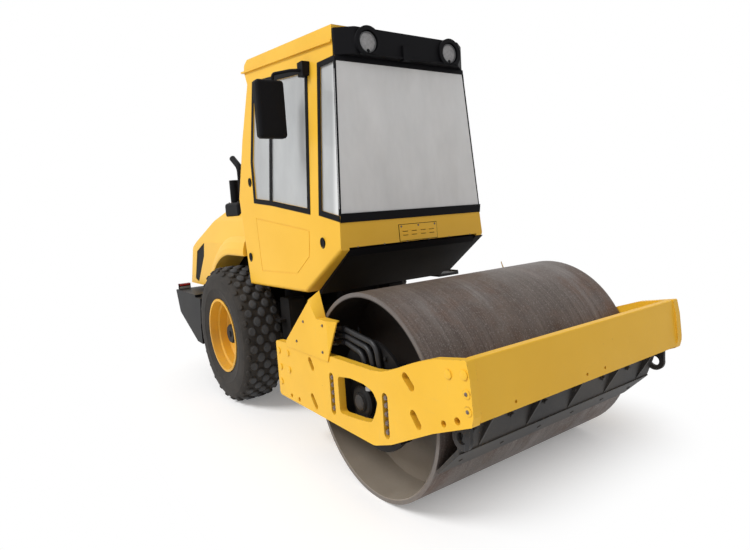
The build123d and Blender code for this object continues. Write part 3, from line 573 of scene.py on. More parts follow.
def set_piece(name, mesh, finishes, body, slot, replaces=(), smooth=None):
    # A finished mesh becomes a piece with its finishes and its body
    thing = bpy.data.objects.new(name, mesh)
    bpy.context.scene.collection.objects.link(thing)
    if not mesh.materials:
        for finish in finishes if isinstance(finishes, (list, tuple)) else [finishes]:
            mesh.materials.append(finish)
    if smooth is not None:
        mesh.shade_smooth()
        mesh.set_sharp_from_angle(angle=radians(smooth))
    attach(thing, body)
    if replaces:
        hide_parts(*replaces)
    return thing


def mesh_of(name, form):
    bmesh.ops.remove_doubles(form, verts=form.verts, dist=1e-5)
    bmesh.ops.recalc_face_normals(form, faces=form.faces)
    mesh = bpy.data.meshes.new(name)
    form.to_mesh(mesh)
    form.free()
    return mesh


def form_piece(name, form, finishes, body, slot, **more):
    return set_piece(name, mesh_of(name, form), finishes, body, slot, **more)


def add_block(form, centre, size, turn=None, edge=0.0):
    # A block with its edges eased, turned about its own centre
    made = bmesh.ops.create_cube(form, size=1.0)["verts"]
    bmesh.ops.scale(form, vec=size, verts=made)
    if edge > 0:
        edges = list({e for v in made for e in v.link_edges})
        bevelled = bmesh.ops.bevel(form, geom=edges, offset=edge, segments=2, profile=0.7, affect="EDGES")
        made = list({v for f in bevelled["faces"] for v in f.verts} | {v for v in made if v.is_valid})
    if turn is not None:
        bmesh.ops.rotate(form, cent=(0, 0, 0), matrix=turn, verts=made)
    bmesh.ops.translate(form, vec=centre, verts=made)
    return made


def add_lathe(form, profile, centre, axis, segments=48):
    # Closed profile of (distance along the axis, radius) points, turned round the axis
    axis = Vector(axis).normalized()
    side = axis.orthogonal().normalized()
    ring = [form.verts.new(Vector(centre) + axis * along + side * radius) for along, radius in profile]
    edges = [form.edges.new((a, b)) for a, b in zip(ring, ring[1:])]
    bmesh.ops.spin(form, geom=ring + edges, cent=centre, axis=axis, angle=2 * pi, steps=segments,
                   use_duplicate=False, use_merge=True)


def lathe_piece(name, turned, finish, body, slot, smooth=40, **more):
    form = bmesh.new()
    for profile, centre, axis in turned:
        add_lathe(form, profile, centre, axis)
    return form_piece(name, form, finish, body, slot, smooth=smooth, **more)


def tube_piece(name, runs, radius, finish, body, slot, sides=12):
    # Round bars along smooth or straight runs
    curve = bpy.data.curves.new(name, "CURVE")
    curve.dimensions = "3D"
    curve.bevel_depth = radius
    curve.bevel_resolution = sides // 4
    curve.use_fill_caps = True
    for points in runs:
        spline = curve.splines.new("NURBS")
        spline.points.add(len(points) - 1)
        for knot, point in zip(spline.points, points):
            knot.co = (*point, 1)
        spline.order_u = 3 if len(points) > 2 else 2
        spline.use_endpoint_u = True
    holder = bpy.data.objects.new(name + "_curve", curve)
    bpy.context.scene.collection.objects.link(holder)
    evaluated = holder.evaluated_get(bpy.context.evaluated_depsgraph_get())
    mesh = bpy.data.meshes.new_from_object(evaluated)
    bpy.data.objects.remove(holder)
    return set_piece(name, mesh, finish, body, slot, smooth=50)


# Geometry Nodes for what repeats

class Growing:
    """Adds nodes to one geometry tree and wires them by value or socket."""

    def __init__(self, name, inputs):
        self.tree = bpy.data.node_groups.new(name, "GeometryNodeTree")
        self.tree.interface.new_socket(name="Spots", in_out="INPUT", socket_type="NodeSocketGeometry")
        for title, kind, start in inputs:
            socket = self.tree.interface.new_socket(name=title, in_out="INPUT",
                                                    socket_type="NodeSocket" + kind)
            if start is not None:
                socket.default_value = start
        self.tree.interface.new_socket(name="Pieces", in_out="OUTPUT", socket_type="NodeSocketGeometry")
        self.given = self.tree.nodes.new("NodeGroupInput").outputs
        self.result = self.tree.nodes.new("NodeGroupOutput").inputs

    def add(self, kind, inputs=(), **settings):
        full_name = kind if kind.startswith(("Shader", "Function")) else "GeometryNode" + kind
        node = self.tree.nodes.new(full_name)
        for key, value in settings.items():
            setattr(node, key, value)
        for key, value in dict(inputs).items():
            socket = node.inputs[key]
            if isinstance(value, bpy.types.NodeSocket):
                self.tree.links.new(value, socket)
            else:
                socket.default_value = value
        return node

    def math(self, kind, a, b=0.0):
        return self.add("ShaderNodeMath", {0: a, 1: b}, operation=kind).outputs[0]

    def lifted(self, geometry, height):
        offset = self.add("ShaderNodeCombineXYZ", {"Z": height}).outputs[0]
        return self.add("Transform", {"Geometry": geometry, "Translation": offset}).outputs[0]

    def joined(self, *parts):
        join = self.add("JoinGeometry")
        for part in reversed(parts):
            self.tree.links.new(part, join.inputs[0])
        return join.outputs[0]

    def spread(self, shape, finish):
        # Shape on every spot, its Z along the spot's facing and its X along the spot's lead
        facing = self.add("InputNamedAttribute", {"Name": "facing"}, data_type="FLOAT_VECTOR").outputs[0]
        lead = self.add("InputNamedAttribute", {"Name": "lead"}, data_type="FLOAT_VECTOR").outputs[0]
        size = self.add("InputNamedAttribute", {"Name": "size"}, data_type="FLOAT_VECTOR").outputs[0]
        turned = self.add("FunctionNodeAxesToRotation", {"Primary Axis": facing, "Secondary Axis": lead},
                          primary_axis="Z", secondary_axis="X").outputs[0]
        placed = self.add("InstanceOnPoints", {"Points": self.given["Spots"], "Instance": shape,
                                               "Rotation": turned, "Scale": size}).outputs[0]
        real = self.add("RealizeInstances", {"Geometry": placed}).outputs[0]
        done = self.add("SetMaterial", {"Geometry": real, "Material": finish}).outputs[0]
        self.tree.links.new(done, self.result["Pieces"])


def bolt_tree():
    # Bolt head with a bevelled top on a washer: six sides for a hex head, many for a low cap
    grow = Growing("bolt_heads", [("Radius", "Float", 0.015), ("Height", "Float", 0.01),
                                  ("Sides", "Int", 6), ("Washer", "Float", 1.3),
                                  ("Finish", "Material", None)])
    given = grow.given
    washer_height = grow.math("MULTIPLY", given["Height"], 0.25)
    washer = grow.add("MeshCylinder", {"Vertices": 20, "Radius": grow.math("MULTIPLY", given["Radius"],
                                                                           given["Washer"]),
                                       "Depth": washer_height}).outputs[0]
    shank = grow.add("MeshCylinder", {"Vertices": given["Sides"], "Radius": given["Radius"],
                                      "Depth": given["Height"]}).outputs[0]
    crown = grow.add("MeshCone", {"Vertices": given["Sides"], "Radius Top": grow.math(
        "MULTIPLY", given["Radius"], 0.78), "Radius Bottom": given["Radius"],
        "Depth": grow.math("MULTIPLY", given["Height"], 0.3)}).outputs[0]
    grow.spread(grow.joined(grow.lifted(washer, grow.math("MULTIPLY", washer_height, 0.5)),
                            grow.lifted(shank, grow.math("MULTIPLY", given["Height"], 0.5)),
                            grow.lifted(crown, given["Height"])), given["Finish"])
    return grow.tree


def block_tree():
    # Rounded tread block that narrows towards its top, or a louvre when it is long and low
    grow = Growing("tread_blocks", [("Length", "Float", 0.08), ("Width", "Float", 0.06),
                                    ("Height", "Float", 0.02), ("Corners", "Int", 12),
                                    ("Finish", "Material", None)])
    given = grow.given
    wall_height = grow.math("MULTIPLY", given["Height"], 0.72)
    wall = grow.add("MeshCone", {"Vertices": given["Corners"], "Radius Top": 0.46, "Radius Bottom": 0.54,
                                 "Depth": wall_height}).outputs[0]
    shoulder_height = grow.math("SUBTRACT", given["Height"], wall_height)
    top = grow.add("MeshCone", {"Vertices": given["Corners"], "Radius Top": 0.36, "Radius Bottom": 0.46,
                                "Depth": shoulder_height}).outputs[0]
    outline = grow.add("ShaderNodeCombineXYZ",
                       {"X": given["Length"], "Y": given["Width"], "Z": 1.0}).outputs[0]
    shape = grow.add("Transform", {"Geometry": grow.joined(wall, grow.lifted(top, wall_height)),
                                   "Scale": outline}).outputs[0]
    grow.spread(shape, given["Finish"])
    return grow.tree


def grown_mesh(name, tree, spots, **values):
    # Spots are (place, facing, lead, size); the tree's result comes back as a plain mesh
    cloud = bpy.data.meshes.new(name + "_spots")
    cloud.from_pydata([tuple(spot[0]) for spot in spots], [], [])
    for title, index in (("facing", 1), ("lead", 2), ("size", 3)):
        layer = cloud.attributes.new(title, "FLOAT_VECTOR", "POINT")
        for point, spot in zip(layer.data, spots):
            point.vector = spot[index]
    holder = bpy.data.objects.new(name + "_spots", cloud)
    bpy.context.scene.collection.objects.link(holder)
    grower = holder.modifiers.new(name, "NODES")
    grower.node_group = tree
    sockets = {item.name: item.identifier for item in tree.interface.items_tree if item.in_out == "INPUT"}
    for title, value in values.items():
        grower[sockets[title]] = value
    bpy.context.view_layer.update()
    evaluated = holder.evaluated_get(bpy.context.evaluated_depsgraph_get())
    mesh = bpy.data.meshes.new_from_object(evaluated)
    mesh.name = name
    holder.modifiers.remove(grower)
    bpy.data.objects.remove(holder)
    return mesh


bolt_heads = bolt_tree()
tread_blocks = block_tree()
EVEN = (1.0, 1.0, 1.0)


def bolts(name, places, facing, body, slot, finish, radius, height, sides=6, washer=1.3):
    lead = Vector(facing).orthogonal()
    spots = [(place, facing, lead, EVEN) for place in places]
    mesh = grown_mesh(name, bolt_heads, spots, Radius=radius, Height=height, Sides=sides, Washer=washer,
                      Finish=finish)
    return set_piece(name, mesh, finish, body, slot, smooth=35)


# Wheels

def tyre_profile():
    # Half section (distance from the tyre's middle, radius) from the crown to the bead
    return [(0.0, 0.6015), (0.060, 0.6012), (0.105, 0.599), (0.135, 0.594), (0.158, 0.582), (0.173, 0.563),
            (0.1805, 0.549), (0.1825, 0.546), (0.1815, 0.543), (0.184, 0.535), (0.1875, 0.505),
            (0.1885, 0.470), (0.1865, 0.440), (0.1872, 0.437), (0.1872, 0.433), (0.1855, 0.430),
            (0.180, 0.400), (0.1725, 0.372), (0.168, 0.360), (0.1665, 0.344), (0.162, 0.336), (0.150, 0.3295)]


def tyre_blocks(name, side):
    # Staggered rows of rounded blocks; the outer rows are smaller and lean over the shoulder
    around = 25
    rows = []
    for number, (along, radius, lean, grow) in enumerate((
            (-0.152, 0.580, -0.72, 0.62), (-0.112, 0.5945, -0.16, 0.90), (-0.056, 0.5985, -0.04, 1.0),
            (0.0, 0.5995, 0.0, 1.0), (0.056, 0.5985, 0.04, 1.0), (0.112, 0.5945, 0.16, 0.90),
            (0.152, 0.580, 0.72, 0.62))):
        for step in range(around):
            angle = 2 * pi * (step + 0.5 * (number % 2)) / around
            out = Vector((sin(angle), 0, cos(angle)))
            place = WHEEL_AXIS + radius * out + Vector((0, side * TYRE_MID + along, 0))
            facing = (cos(lean) * out + Vector((0, sin(lean), 0))).normalized()
            lead = Vector((cos(angle), 0, -sin(angle)))
            rows.append((place, facing, lead, (grow, grow, 0.75 if abs(lean) > 0.5 else 1.0)))
    return grown_mesh(name, tread_blocks, rows, Length=0.088, Width=0.070, Height=0.0225, Corners=12,
                      Finish=tyre_rubber)


def make_tyre(label, side):
    half = tyre_profile()
    profile = [(-y, r) for y, r in half[::-1]] + half[1:] + [(-0.150, 0.3295)]
    form = bmesh.new()
    add_lathe(form, profile, (WHEEL_AXIS.x, side * TYRE_MID, WHEEL_AXIS.z), (0, 1, 0), segments=112)
    carcass = mesh_of("carcass_" + label, form)
    joined = bmesh.new()
    joined.from_mesh(carcass)
    joined.from_mesh(tyre_blocks("blocks_" + label, side))
    mesh = bpy.data.meshes.new("tyre_" + label + "_treaded")
    joined.to_mesh(mesh)
    joined.free()
    for flat in mesh.polygons:
        flat.material_index = 0
    set_piece("tyre_" + label + "_treaded", mesh, tyre_rubber, "wheel_" + label, "tyre",
              replaces=("tyre_" + label,), smooth=38)


def make_wheel_nuts(label, side):
    # Ten nuts on the disc, and the hub's ring of cap screws
    body = "wheel_" + label
    facing = (0, side, 0)
    for name, count, ring, y, radius, height, finish in (
            ("nuts", 10, 0.170, 0.7125, 0.0135, 0.016, old_bolt),
            ("hub_screws", 12, 0.078, 0.806, 0.0065, 0.006, black)):
        places = []
        for step in range(count):
            angle = 2 * pi * (step + 0.5) / count
            places.append((WHEEL_AXIS.x + ring * cos(angle), side * y, WHEEL_AXIS.z + ring * sin(angle)))
        bolts(f"wheel_{name}_{label}", places, facing, body, "black_paint", finish, radius, height)
    centre = (WHEEL_AXIS.x, side * 0.818, WHEEL_AXIS.z)
    lathe_piece("hub_plug_" + label, [([(0, 0), (0, 0.030), (0.006, 0.030), (0.010, 0.024), (0.010, 0)],
                                       centre, facing)], black, body, "black_paint")


# Drum frame

def plate_fasteners():
    # Low painted heads at the front and rear of each side plate, and bare ones at its front edge
    painted_at = [(2.181, 0.930), (2.283, 0.948), (0.372, 0.713), (0.515, 0.718), (0.384, 0.595),
                  (0.520, 0.598), (0.376, 0.484)]
    bare_at = [(2.293, 0.863), (2.298, 0.784)]
    slot_at = [(1.109, 0.475), (1.109, 0.525), (1.109, 0.575), (1.109, 0.625), (1.109, 0.672),
               (1.669, 0.492), (1.669, 0.542), (1.669, 0.592), (1.669, 0.642), (1.669, 0.685)]
    for label, side in (("right", -1), ("left", 1)):
        facing = (0, side, 0)
        bolts("plate_caps_" + label, [(x, side * PLATE_FACE, z) for x, z in painted_at], facing,
              "drum_frame", "yellow_paint", frame_yellow, 0.023, 0.006, sides=24, washer=1.06)
        bolts("plate_bolts_" + label, [(x, side * PLATE_FACE, z) for x, z in bare_at], facing,
              "drum_frame", "yellow_paint", frame_yellow, 0.022, 0.003, sides=24, washer=1.15)
        bolts("plate_bolt_ends_" + label, [(x, side * (PLATE_FACE + 0.0025), z) for x, z in bare_at], facing,
              "drum_frame", "black_paint", old_bolt, 0.010, 0.004, sides=6, washer=1.2)
        bolts("slot_bolts_" + label, [(x, side * BAR_FACE, z) for x, z in slot_at], facing,
              "drum_frame", "black_paint", old_bolt, 0.0165, 0.036, sides=6, washer=1.35)


def guard_fasteners():
    # Screws of the folded guards, and the dark ends of the bolts along the plate's top
    places = [(0.806, 0.985), (1.060, 0.994), (0.690, 0.836), (1.040, 0.822)]
    for label, side in (("right", -1), ("left", 1)):
        bolts("guard_screws_" + label, [(x, side * GUARD_FACE, z) for x, z in places], (0, side, 0),
              "drum_frame", "black_paint", old_bolt, 0.008, 0.005, sides=6, washer=1.25)


def motor_details():
    # Bolts of the drum drive motor's flange, its cover and the carrier's ring
    for label, side in (("right", -1), ("left", 1)):
        facing = (0, side, 0)
        flange = [(x, side * MOTOR_FACE, z) for x in (1.252, 1.398) for z in (0.517, 0.593)]
        bolts("motor_bolts_" + label, flange, facing, "drum_frame", "black_paint", zinc, 0.011, 0.010)
        ring = []
        for step in range(12):
            angle = 2 * pi * step / 12
            ring.append((DRUM_AXIS.x + 0.285 * cos(angle), side * 0.800, DRUM_AXIS.z + 0.285 * sin(angle)))
        ring = [place for place in ring if abs(place[0] - 1.109) > 0.07 and abs(place[0] - 1.669) > 0.07]
        bolts("carrier_bolts_" + label, ring, facing, "drum_frame", "black_paint", black, 0.013, 0.012)
        lathe_piece("motor_cover_" + label, [
            ([(0, 0.046), (0.006, 0.046), (0.010, 0.040), (0.012, 0.022), (0.012, 0)],
             (1.325, side * 0.844, 0.555), facing)], scraped_black, "drum_frame", "black_paint")


def hose_fittings():
    # Crimped ends and hex unions where the three hoses start and end
    crimp = [(0, 0.0), (0, 0.0225), (0.034, 0.0225), (0.040, 0.0195), (0.058, 0.0195), (0.062, 0.018),
             (0.062, 0.0)]
    starts = [((1.014, -HOSE_LINE, z), (1, 0, 0)) for z in (0.954, 0.914, 0.872)]
    lathe_piece("hose_crimps_right", [(crimp, centre, axis) for centre, axis in starts], zinc,
                "drum_frame", "black_paint")
    clamp = [(-0.012, 0.0172), (-0.012, 0.0205), (0.012, 0.0205), (0.012, 0.0172), (-0.012, 0.0172)]
    places = [((1.180, -HOSE_LINE, z), (1, 0, 0)) for z in (0.9735, 0.9335, 0.8915)]
    lathe_piece("hose_sleeves_right", [(clamp, centre, axis) for centre, axis in places],
                black_plastic, "drum_frame", "black_plastic")
    collar = [(0, 0.0), (0, 0.026), (0.022, 0.026), (0.026, 0.022), (0.026, 0.0)]
    lows = [((x, -HOSE_LINE, z), (0, 0, 1)) for x, z in ((1.540, 0.700), (1.480, 0.650), (1.404, 0.646))]
    lathe_piece("hose_unions_right", [(collar, centre, axis) for centre, axis in lows], zinc,
                "drum_frame", "black_paint")
    tie = [(1.300, -0.803, 0.842), (1.300, -0.800, 0.920), (1.300, -0.803, 0.998)]
    tube_piece("hose_tie", [tie], 0.004, black_plastic, "drum_frame", "black_plastic")


def beam_details():
    # Weld beads between the beam and the side plates, and the scraper's bolts under it
    corner = [(2.3215, 0.735), (2.309, 0.870), (2.2975, 1.000)]
    welds = [[(x, side * 0.8555, z) for x, z in corner] for side in (-1, 1)]
    tube_piece("beam_welds", welds, 0.004, frame_yellow, "drum_frame", "yellow_paint", sides=8)
    places = [(2.1975, 0.26 * step, 0.640) for step in range(-3, 4)]
    bolts("scraper_bolts", places, (0.94, 0, -0.34), "drum_frame", "black_paint", scraped_black,
          0.014, 0.011)
    strip = [(2.062, y, 0.4345) for y in (-0.75, -0.45, -0.15, 0.15, 0.45, 0.75)]
    bolts("strip_bolts", strip, (0.70, 0, -0.714), "drum_frame", "black_paint", scraped_black, 0.013, 0.010)


# Cab

BAND_FACE, BAND_LEAN = 0.9196, 0.057


def band_plate():
    # Air inlet plate under the windscreen: a raised plate, its screws and four pairs of louvres, each with a
    # painted shadow strip below it
    lean = Vector((1.0, 0.0, BAND_LEAN)).normalized()
    turn = Matrix.Rotation(-BAND_LEAN, 3, "Y")
    middle = Vector((BAND_FACE, 0.010, 1.505))
    form = bmesh.new()
    add_block(form, middle + lean * 0.0015, (0.005, 0.347, 0.113), turn=turn, edge=0.0018)
    form_piece("band_plate", form, cab_yellow, "tractor", "yellow_paint", smooth=30)
    form = bmesh.new()
    add_block(form, middle + lean * 0.0002, (0.003, 0.355, 0.121), turn=turn, edge=0.001)
    form_piece("band_plate_seal", form, black_plastic, "tractor",
              "black_plastic", smooth=30)
    across = Vector((0.0, 1.0, 0.0))
    up = lean.cross(across)
    spots = []
    for group in (-0.123, -0.042, 0.042, 0.123):
        for row in (-0.012, 0.014):
            place = middle + across * group + up * row + lean * 0.004
            spots.append((place, lean, across, EVEN))
    louvres = grown_mesh("band_louvres", tread_blocks, spots, Length=0.058, Width=0.010, Height=0.0045,
                         Corners=10, Finish=cab_yellow)
    set_piece("band_louvres", louvres, cab_yellow, "tractor", "yellow_paint", smooth=40)
    # Painted shadow: a thin black strip on the plate just under each louvre
    shades = [(place - up * 0.0062 - lean * 0.0002, lean, across, EVEN) for place, lean, across, _ in spots]
    louvre_shadow_strips = grown_mesh("band_louvre_shadows", tread_blocks, shades, Length=0.052, Width=0.005, Height=0.001,
                       Corners=8, Finish=black_plastic)
    set_piece("band_louvre_shadows", louvre_shadow_strips, black_plastic, "tractor", "black_plastic", smooth=40)
    screws = [middle + across * y + up * 0.045 + lean * 0.004 for y in (-0.155, 0.0, 0.155)]
    bolts("band_screws", screws, lean, "tractor", "black_paint", old_bolt, 0.0055, 0.003, washer=1.4)
    lower = [Vector((BAND_FACE + 0.0035, y, 1.442)) for y in (-0.52, -0.30, -0.10, 0.10, 0.30, 0.52)]
    bolts("band_lower_screws", lower, lean, "tractor", "black_paint", old_bolt, 0.005, 0.0025,
          washer=1.2)


def glass_seals():
    # Black seals along the two front corners of the glass, and under the roof above the windscreen
    runs = []
    for side in (-1, 1):
        runs.append([(x - 0.004, side * (cab_side(x, z) - 0.004), z)
                     for x, z in ((0.9195, 1.655), (0.897, 2.160), (0.872, 2.675))])
    tube_piece("corner_seals", runs, 0.0065, black_plastic, "tractor", "black_plastic")
    form = bmesh.new()
    add_block(form, (0.8725, 0.0, 2.667), (0.007, 1.130, 0.033), edge=0.0015)
    form_piece("header_seal", form, black_plastic, "tractor", "black_plastic", smooth=35)


def cab_plugs():
    # Oval rubber plugs in the side without a door
    form = bmesh.new()
    for x, z, width, height in ((-0.408, 1.967, 0.060, 0.078), (-0.419, 1.343, 0.060, 0.078),
                                (0.707, 1.475, 0.062, 0.080)):
        y = -cab_side(x, z)
        turn = Matrix.Rotation(CAB_LEAN, 3, "X")
        base = Vector((x, y, z))
        rings = []
        for out, share in ((-0.001, 1.0), (0.003, 1.0), (0.0055, 0.93), (0.0060, 0.80), (0.0040, 0.70),
                           (0.0040, 0.0)):
            ring = []
            for step in range(32):
                angle = 2 * pi * step / 32
                flat = Vector((0.5 * width * share * cos(angle), -out, 0.5 * height * share * sin(angle)))
                ring.append(form.verts.new(base + turn @ flat))
            rings.append(ring)
        for near, far in zip(rings, rings[1:]):
            for step in range(32):
                form.faces.new((near[step], near[(step + 1) % 32], far[(step + 1) % 32], far[step]))
        form.faces.new(rings[0][::-1])
    form_piece("cab_plugs", form, black_plastic, "tractor", "black_plastic", smooth=35)


def work_lamps():
    # Crowned lenses in dark reflector rims, and the tail lamps' two-part lenses
    crown = [(0.0, 0.0), (0.0, 0.0655), (0.009, 0.0655), (0.0115, 0.060), (0.0145, 0.040), (0.0155, 0.0)]
    rim = [(0.0095, 0.0565), (0.014, 0.058), (0.0155, 0.062), (0.0145, 0.0665), (0.009, 0.0675),
           (0.0, 0.0675), (0.0, 0.0645), (0.0095, 0.0565)]
    sides = [(0.9405, y, 2.763) for y in (-0.357, 0.357)]
    lathe_piece("work_lamp_lenses", [(crown, centre, (1, 0, 0)) for centre in sides], lamp_lens,
                "tractor", "lamp_lens", replaces=("lamps",))
    lathe_piece("work_lamp_rims", [(rim, centre, (1, 0, 0)) for centre in sides], grey_plastic,
                "tractor", "black_plastic")
    tabs = [(0.954, y, 2.708) for y in (-0.357, 0.357)]
    bolts("work_lamp_tabs", tabs, (1, 0, 0), "tractor", "black_plastic", black_plastic, 0.012, 0.002,
          sides=12, washer=1.05)
    for name, z, height, finish in (("tail_lenses_red", 0.972, 0.026, tail_red),
                                    ("tail_lenses_clear", 0.9405, 0.028, lamp_lens)):
        form = bmesh.new()
        for side in (-1, 1):
            add_block(form, (-2.2995, side * 0.795, z), (0.050, 0.122, height), edge=0.005)
        form_piece(name, form, finish, "tractor", "lamp_lens", smooth=35)
    form = bmesh.new()
    for side in (-1, 1):
        add_block(form, (-2.288, side * 0.795, 0.956), (0.026, 0.130, 0.0575), edge=0.004)
    form_piece("tail_lamp_bodies", form, black_plastic, "tractor",
              "black_plastic", smooth=35)


def mirror_panes():
    # Glass on the rear face of each mirror head
    for label, side, body in (("right", -1, "tractor"), ("left", 1, "door_left")):
        form = bmesh.new()
        add_block(form, (0.3668, side * 0.831, 2.410), (0.003, 0.176, 0.356), edge=0.0014)
        form_piece("mirror_pane_" + label, form, mirror_glass, body,
                  "chrome", smooth=35)


def door_furniture():
    # The lock of the door handle
    y = cab_side(0.575, 1.56) + 0.020
    form = bmesh.new()
    add_lathe(form, [(0, 0), (0, 0.011), (0.004, 0.011), (0.005, 0.008), (0.005, 0)], (0.575, y, 1.480),
              (0, 1, CAB_LEAN), segments=24)
    form_piece("door_lock", form, zinc, "door_left", "chrome", smooth=35)


# Seat and controls

def pad_form(corners, half, crown, rounding, channels=()):
    # Side outline of (x, z) points swept across, crowned and grooved where it is stitched
    form = bmesh.new()
    outer = [0.15, 0.3, 0.45, 0.6, 0.75, 0.90, 0.97, 1.0]
    across = [-place for place in outer[::-1]] + [0] + outer
    middle = Vector((sum(x for x, _ in corners), 0, sum(z for _, z in corners))) / len(corners)
    outline = []
    for (x0, z0), (x1, z1) in zip(corners, corners[1:] + corners[:1]):
        for step in range(8):
            share = step / 8
            outline.append(Vector((x0 + (x1 - x0) * share, 0, z0 + (z1 - z0) * share)))
    for _ in range(rounding):
        outline = [(outline[i - 1] + outline[i] * 2 + outline[(i + 1) % len(outline)]) / 4
                   for i in range(len(outline))]
    rings = []
    for place in across:
        pull = (1 - abs(place) ** 6) * crown - crown
        shrink = 1 - 0.10 * abs(place) ** 8
        dip = sum(0.006 * max(0.0, 1 - abs(place * half - groove) / 0.012) for groove in channels)
        ring = []
        for point in outline:
            away = (point - middle)
            away_length = away.length
            spot = middle + away * shrink * (away_length + pull * 0.6 - dip) / away_length
            ring.append(form.verts.new((spot.x, place * half, spot.z)))
        rings.append(ring)
    count = len(outline)
    for near, far in zip(rings, rings[1:]):
        for step in range(count):
            form.faces.new((near[step], near[(step + 1) % count], far[(step + 1) % count], far[step]))
    for ring in (rings[0], rings[-1]):
        hub = form.verts.new(sum((v.co for v in ring), Vector()) / count)
        for step in range(count):
            form.faces.new((ring[step], ring[(step + 1) % count], hub))
    return form


def soft_piece(name, form, finish, body, slot, fill, **more):
    mesh = mesh_of(name, form)
    thing = set_piece(name, mesh, finish, body, slot, **more)
    smoother = thing.modifiers.new("rounding", "SUBSURF")
    smoother.levels = smoother.render_levels = 1
    rounded = bpy.data.meshes.new_from_object(thing.evaluated_get(bpy.context.evaluated_depsgraph_get()))
    thing.modifiers.remove(smoother)
    thing.data = rounded
    rounded.name = name
    rounded.shade_smooth()
    return thing


def drivers_seat():
    # Crowned cushion, back and head pad on their shell, slide rails, arm rests and pedestal bellows
    cushion = [(-0.250, 1.482), (0.215, 1.482), (0.226, 1.560), (0.190, 1.596),
               (-0.150, 1.580), (-0.258, 1.590)]
    soft_piece("seat_cushion", pad_form(cushion, 0.240, 0.022, 3, (-0.130, 0.130)), seat_cloth,
               "tractor", "black_plastic", 0.75, replaces=("seat",))
    back = [(-0.252, 1.590), (-0.150, 1.590), (-0.160, 1.780), (-0.215, 2.115),
            (-0.305, 2.115), (-0.285, 1.850)]
    soft_piece("seat_back", pad_form(back, 0.228, 0.020, 3, (-0.125, 0.125)), seat_cloth,
               "tractor", "black_plastic", 0.75)
    head = [(-0.292, 2.118), (-0.228, 2.118), (-0.236, 2.200), (-0.250, 2.262),
            (-0.310, 2.262), (-0.302, 2.180)]
    soft_piece("seat_head_pad", pad_form(head, 0.126, 0.014, 3), seat_cloth, "tractor", "black_plastic", 0.8)
    form = bmesh.new()
    for centre, size, edge in (((-0.035, 0.0, 1.435), (0.400, 0.410, 0.026), 0.006),
                               ((-0.035, 0.0, 1.4695), (0.440, 0.430, 0.018), 0.006),
                               ((-0.040, 0.0, 1.385), (0.330, 0.370, 0.028), 0.006)):
        add_block(form, centre, size, edge=edge)
    for step in range(5):
        shrink = 0.012 if step % 2 else 0.0
        fold = (0.320 - shrink, 0.360 - shrink, 0.041)
        add_block(form, (-0.040, 0.0, 1.190 + 0.040 * step), fold, edge=0.010)
    form_piece("seat_base", form, black_plastic, "tractor", "black_plastic", smooth=35)
    form = bmesh.new()
    for side in (-1, 1):
        add_block(form, (-0.040, side * 0.275, 1.755), (0.310, 0.052, 0.044), edge=0.014)
        add_block(form, (-0.190, side * 0.275, 1.672), (0.040, 0.022, 0.150), edge=0.006)
    form_piece("seat_arms", form, grey_plastic, "tractor", "black_plastic", smooth=40)


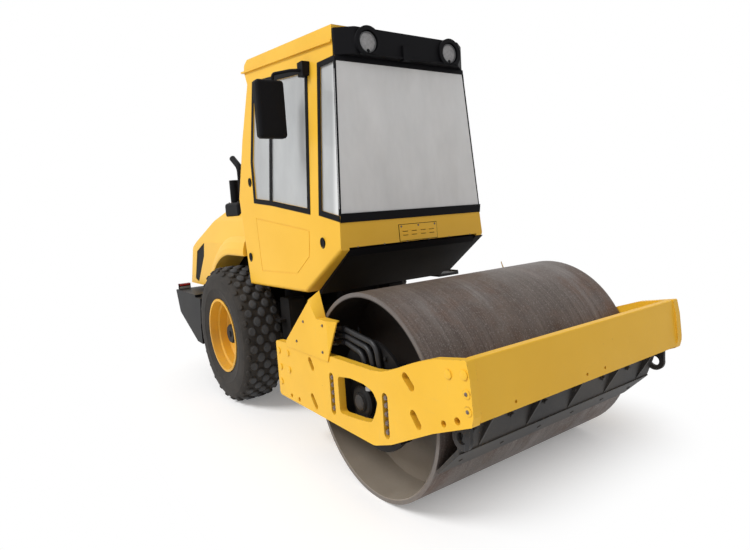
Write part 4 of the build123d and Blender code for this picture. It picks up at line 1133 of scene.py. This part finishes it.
def steering_controls():
    # Rim, hub and three spokes of the wheel, and the console's gauges, keys and lever
    axis = Vector((-0.5, 0.0, 0.87)).normalized()
    centre = Vector((0.500, 0.0, 1.915))
    grip = []
    for step in range(17):
        angle = 2 * pi * step / 16
        grip.append((0.0125 * sin(angle), 0.1845 + 0.0125 * cos(angle)))
    hub = [(-0.020, 0.0), (-0.020, 0.026), (-0.004, 0.044), (0.006, 0.044), (0.012, 0.038), (0.013, 0.0)]
    lathe_piece("steering_rim", [(grip, centre, axis), (hub, centre, axis)], black_plastic, "tractor",
                "black_plastic", replaces=("steering_wheel",))
    side = Vector((0.87, 0.0, 0.5)).normalized()
    spokes = []
    for angle in (radians(90), radians(210), radians(330)):
        out = side * cos(angle) + Vector((0, 1, 0)) * sin(angle)
        spokes.append([centre + out * 0.036, centre + out * 0.100 - axis * 0.004, centre + out * 0.174])
    tube_piece("steering_spokes", spokes, 0.010, black_plastic, "tractor", "black_plastic")
    knob = centre + (side * cos(radians(150)) + Vector((0, 1, 0)) * sin(radians(150))) * 0.1845
    ball = [(0.008, 0), (0.008, 0.009), (0.020, 0.009), (0.024, 0.017), (0.040, 0.020), (0.050, 0.016),
            (0.053, 0)]
    lathe_piece("steering_knob", [(ball, knob, axis)], black_plastic, "tractor", "black_plastic")
    keys = [(0.590 + 0.034 * row, 0.045 * column, 1.700) for row in range(4) for column in (-3, -2, 2, 3)]
    spots = [(place, (0, 0, 1), (1, 0, 0), EVEN) for place in keys]
    mesh = grown_mesh("console_keys", tread_blocks, spots, Length=0.026, Width=0.032, Height=0.007, Corners=4,
                      Finish=black_plastic)
    set_piece("console_keys", mesh, black_plastic, "tractor", "black_plastic", smooth=30)
    gauge = [(0, 0), (0, 0.030), (0.006, 0.030), (0.008, 0.027), (0.004, 0.024), (0.004, 0)]
    lathe_piece("console_gauges", [(gauge, (x, 0.0, 1.699), (0, 0, 1)) for x in (0.615, 0.690)], zinc,
                "tractor", "black_plastic")
    lever = [[(0.02, -0.275, 1.776), (0.045, -0.275, 1.850), (0.050, -0.275, 1.905)]]
    tube_piece("drive_lever", lever, 0.007, zinc, "tractor", "chrome")
    lathe_piece("drive_lever_grip", [([(0, 0), (0, 0.012), (0.010, 0.019), (0.045, 0.022), (0.066, 0.017),
                                       (0.072, 0.0)], (0.050, -0.275, 1.890), (0.1, 0, 1))],
                black_plastic, "tractor", "black_plastic")


# Hood and rear

def hood_fittings():
    # Latches, and the rain cap bolts of the exhaust pipe
    back = Vector((-0.42, 0.0, 0.146)).normalized()
    latch = [(0, 0), (0, 0.026), (0.003, 0.026), (0.004, 0.021), (0.002, 0.019), (0.002, 0)]
    places = [(-2.2215, y, 1.2365) for y in (-0.52, 0.52)]
    lathe_piece("hood_latches", [(latch, place, back) for place in places], black_plastic, "hood",
                "black_plastic")
    flange = []
    for step in range(6):
        angle = 2 * pi * step / 6
        flange.append((-1.150 + 0.062 * cos(angle), -0.540 + 0.062 * sin(angle), 1.826))
    bolts("exhaust_bolts", flange, (0, 0, 1), "hood", "black_paint", old_bolt, 0.007, 0.006)


place_camera()
light_studio()
lay_floor()
dress_nodes()
for label, side in (("right", -1), ("left", 1)):
    make_tyre(label, side)
    make_wheel_nuts(label, side)
plate_fasteners()
guard_fasteners()
motor_details()
hose_fittings()
beam_details()
band_plate()
glass_seals()
cab_plugs()
work_lamps()
mirror_panes()
door_furniture()
drivers_seat()
steering_controls()
hood_fittings()
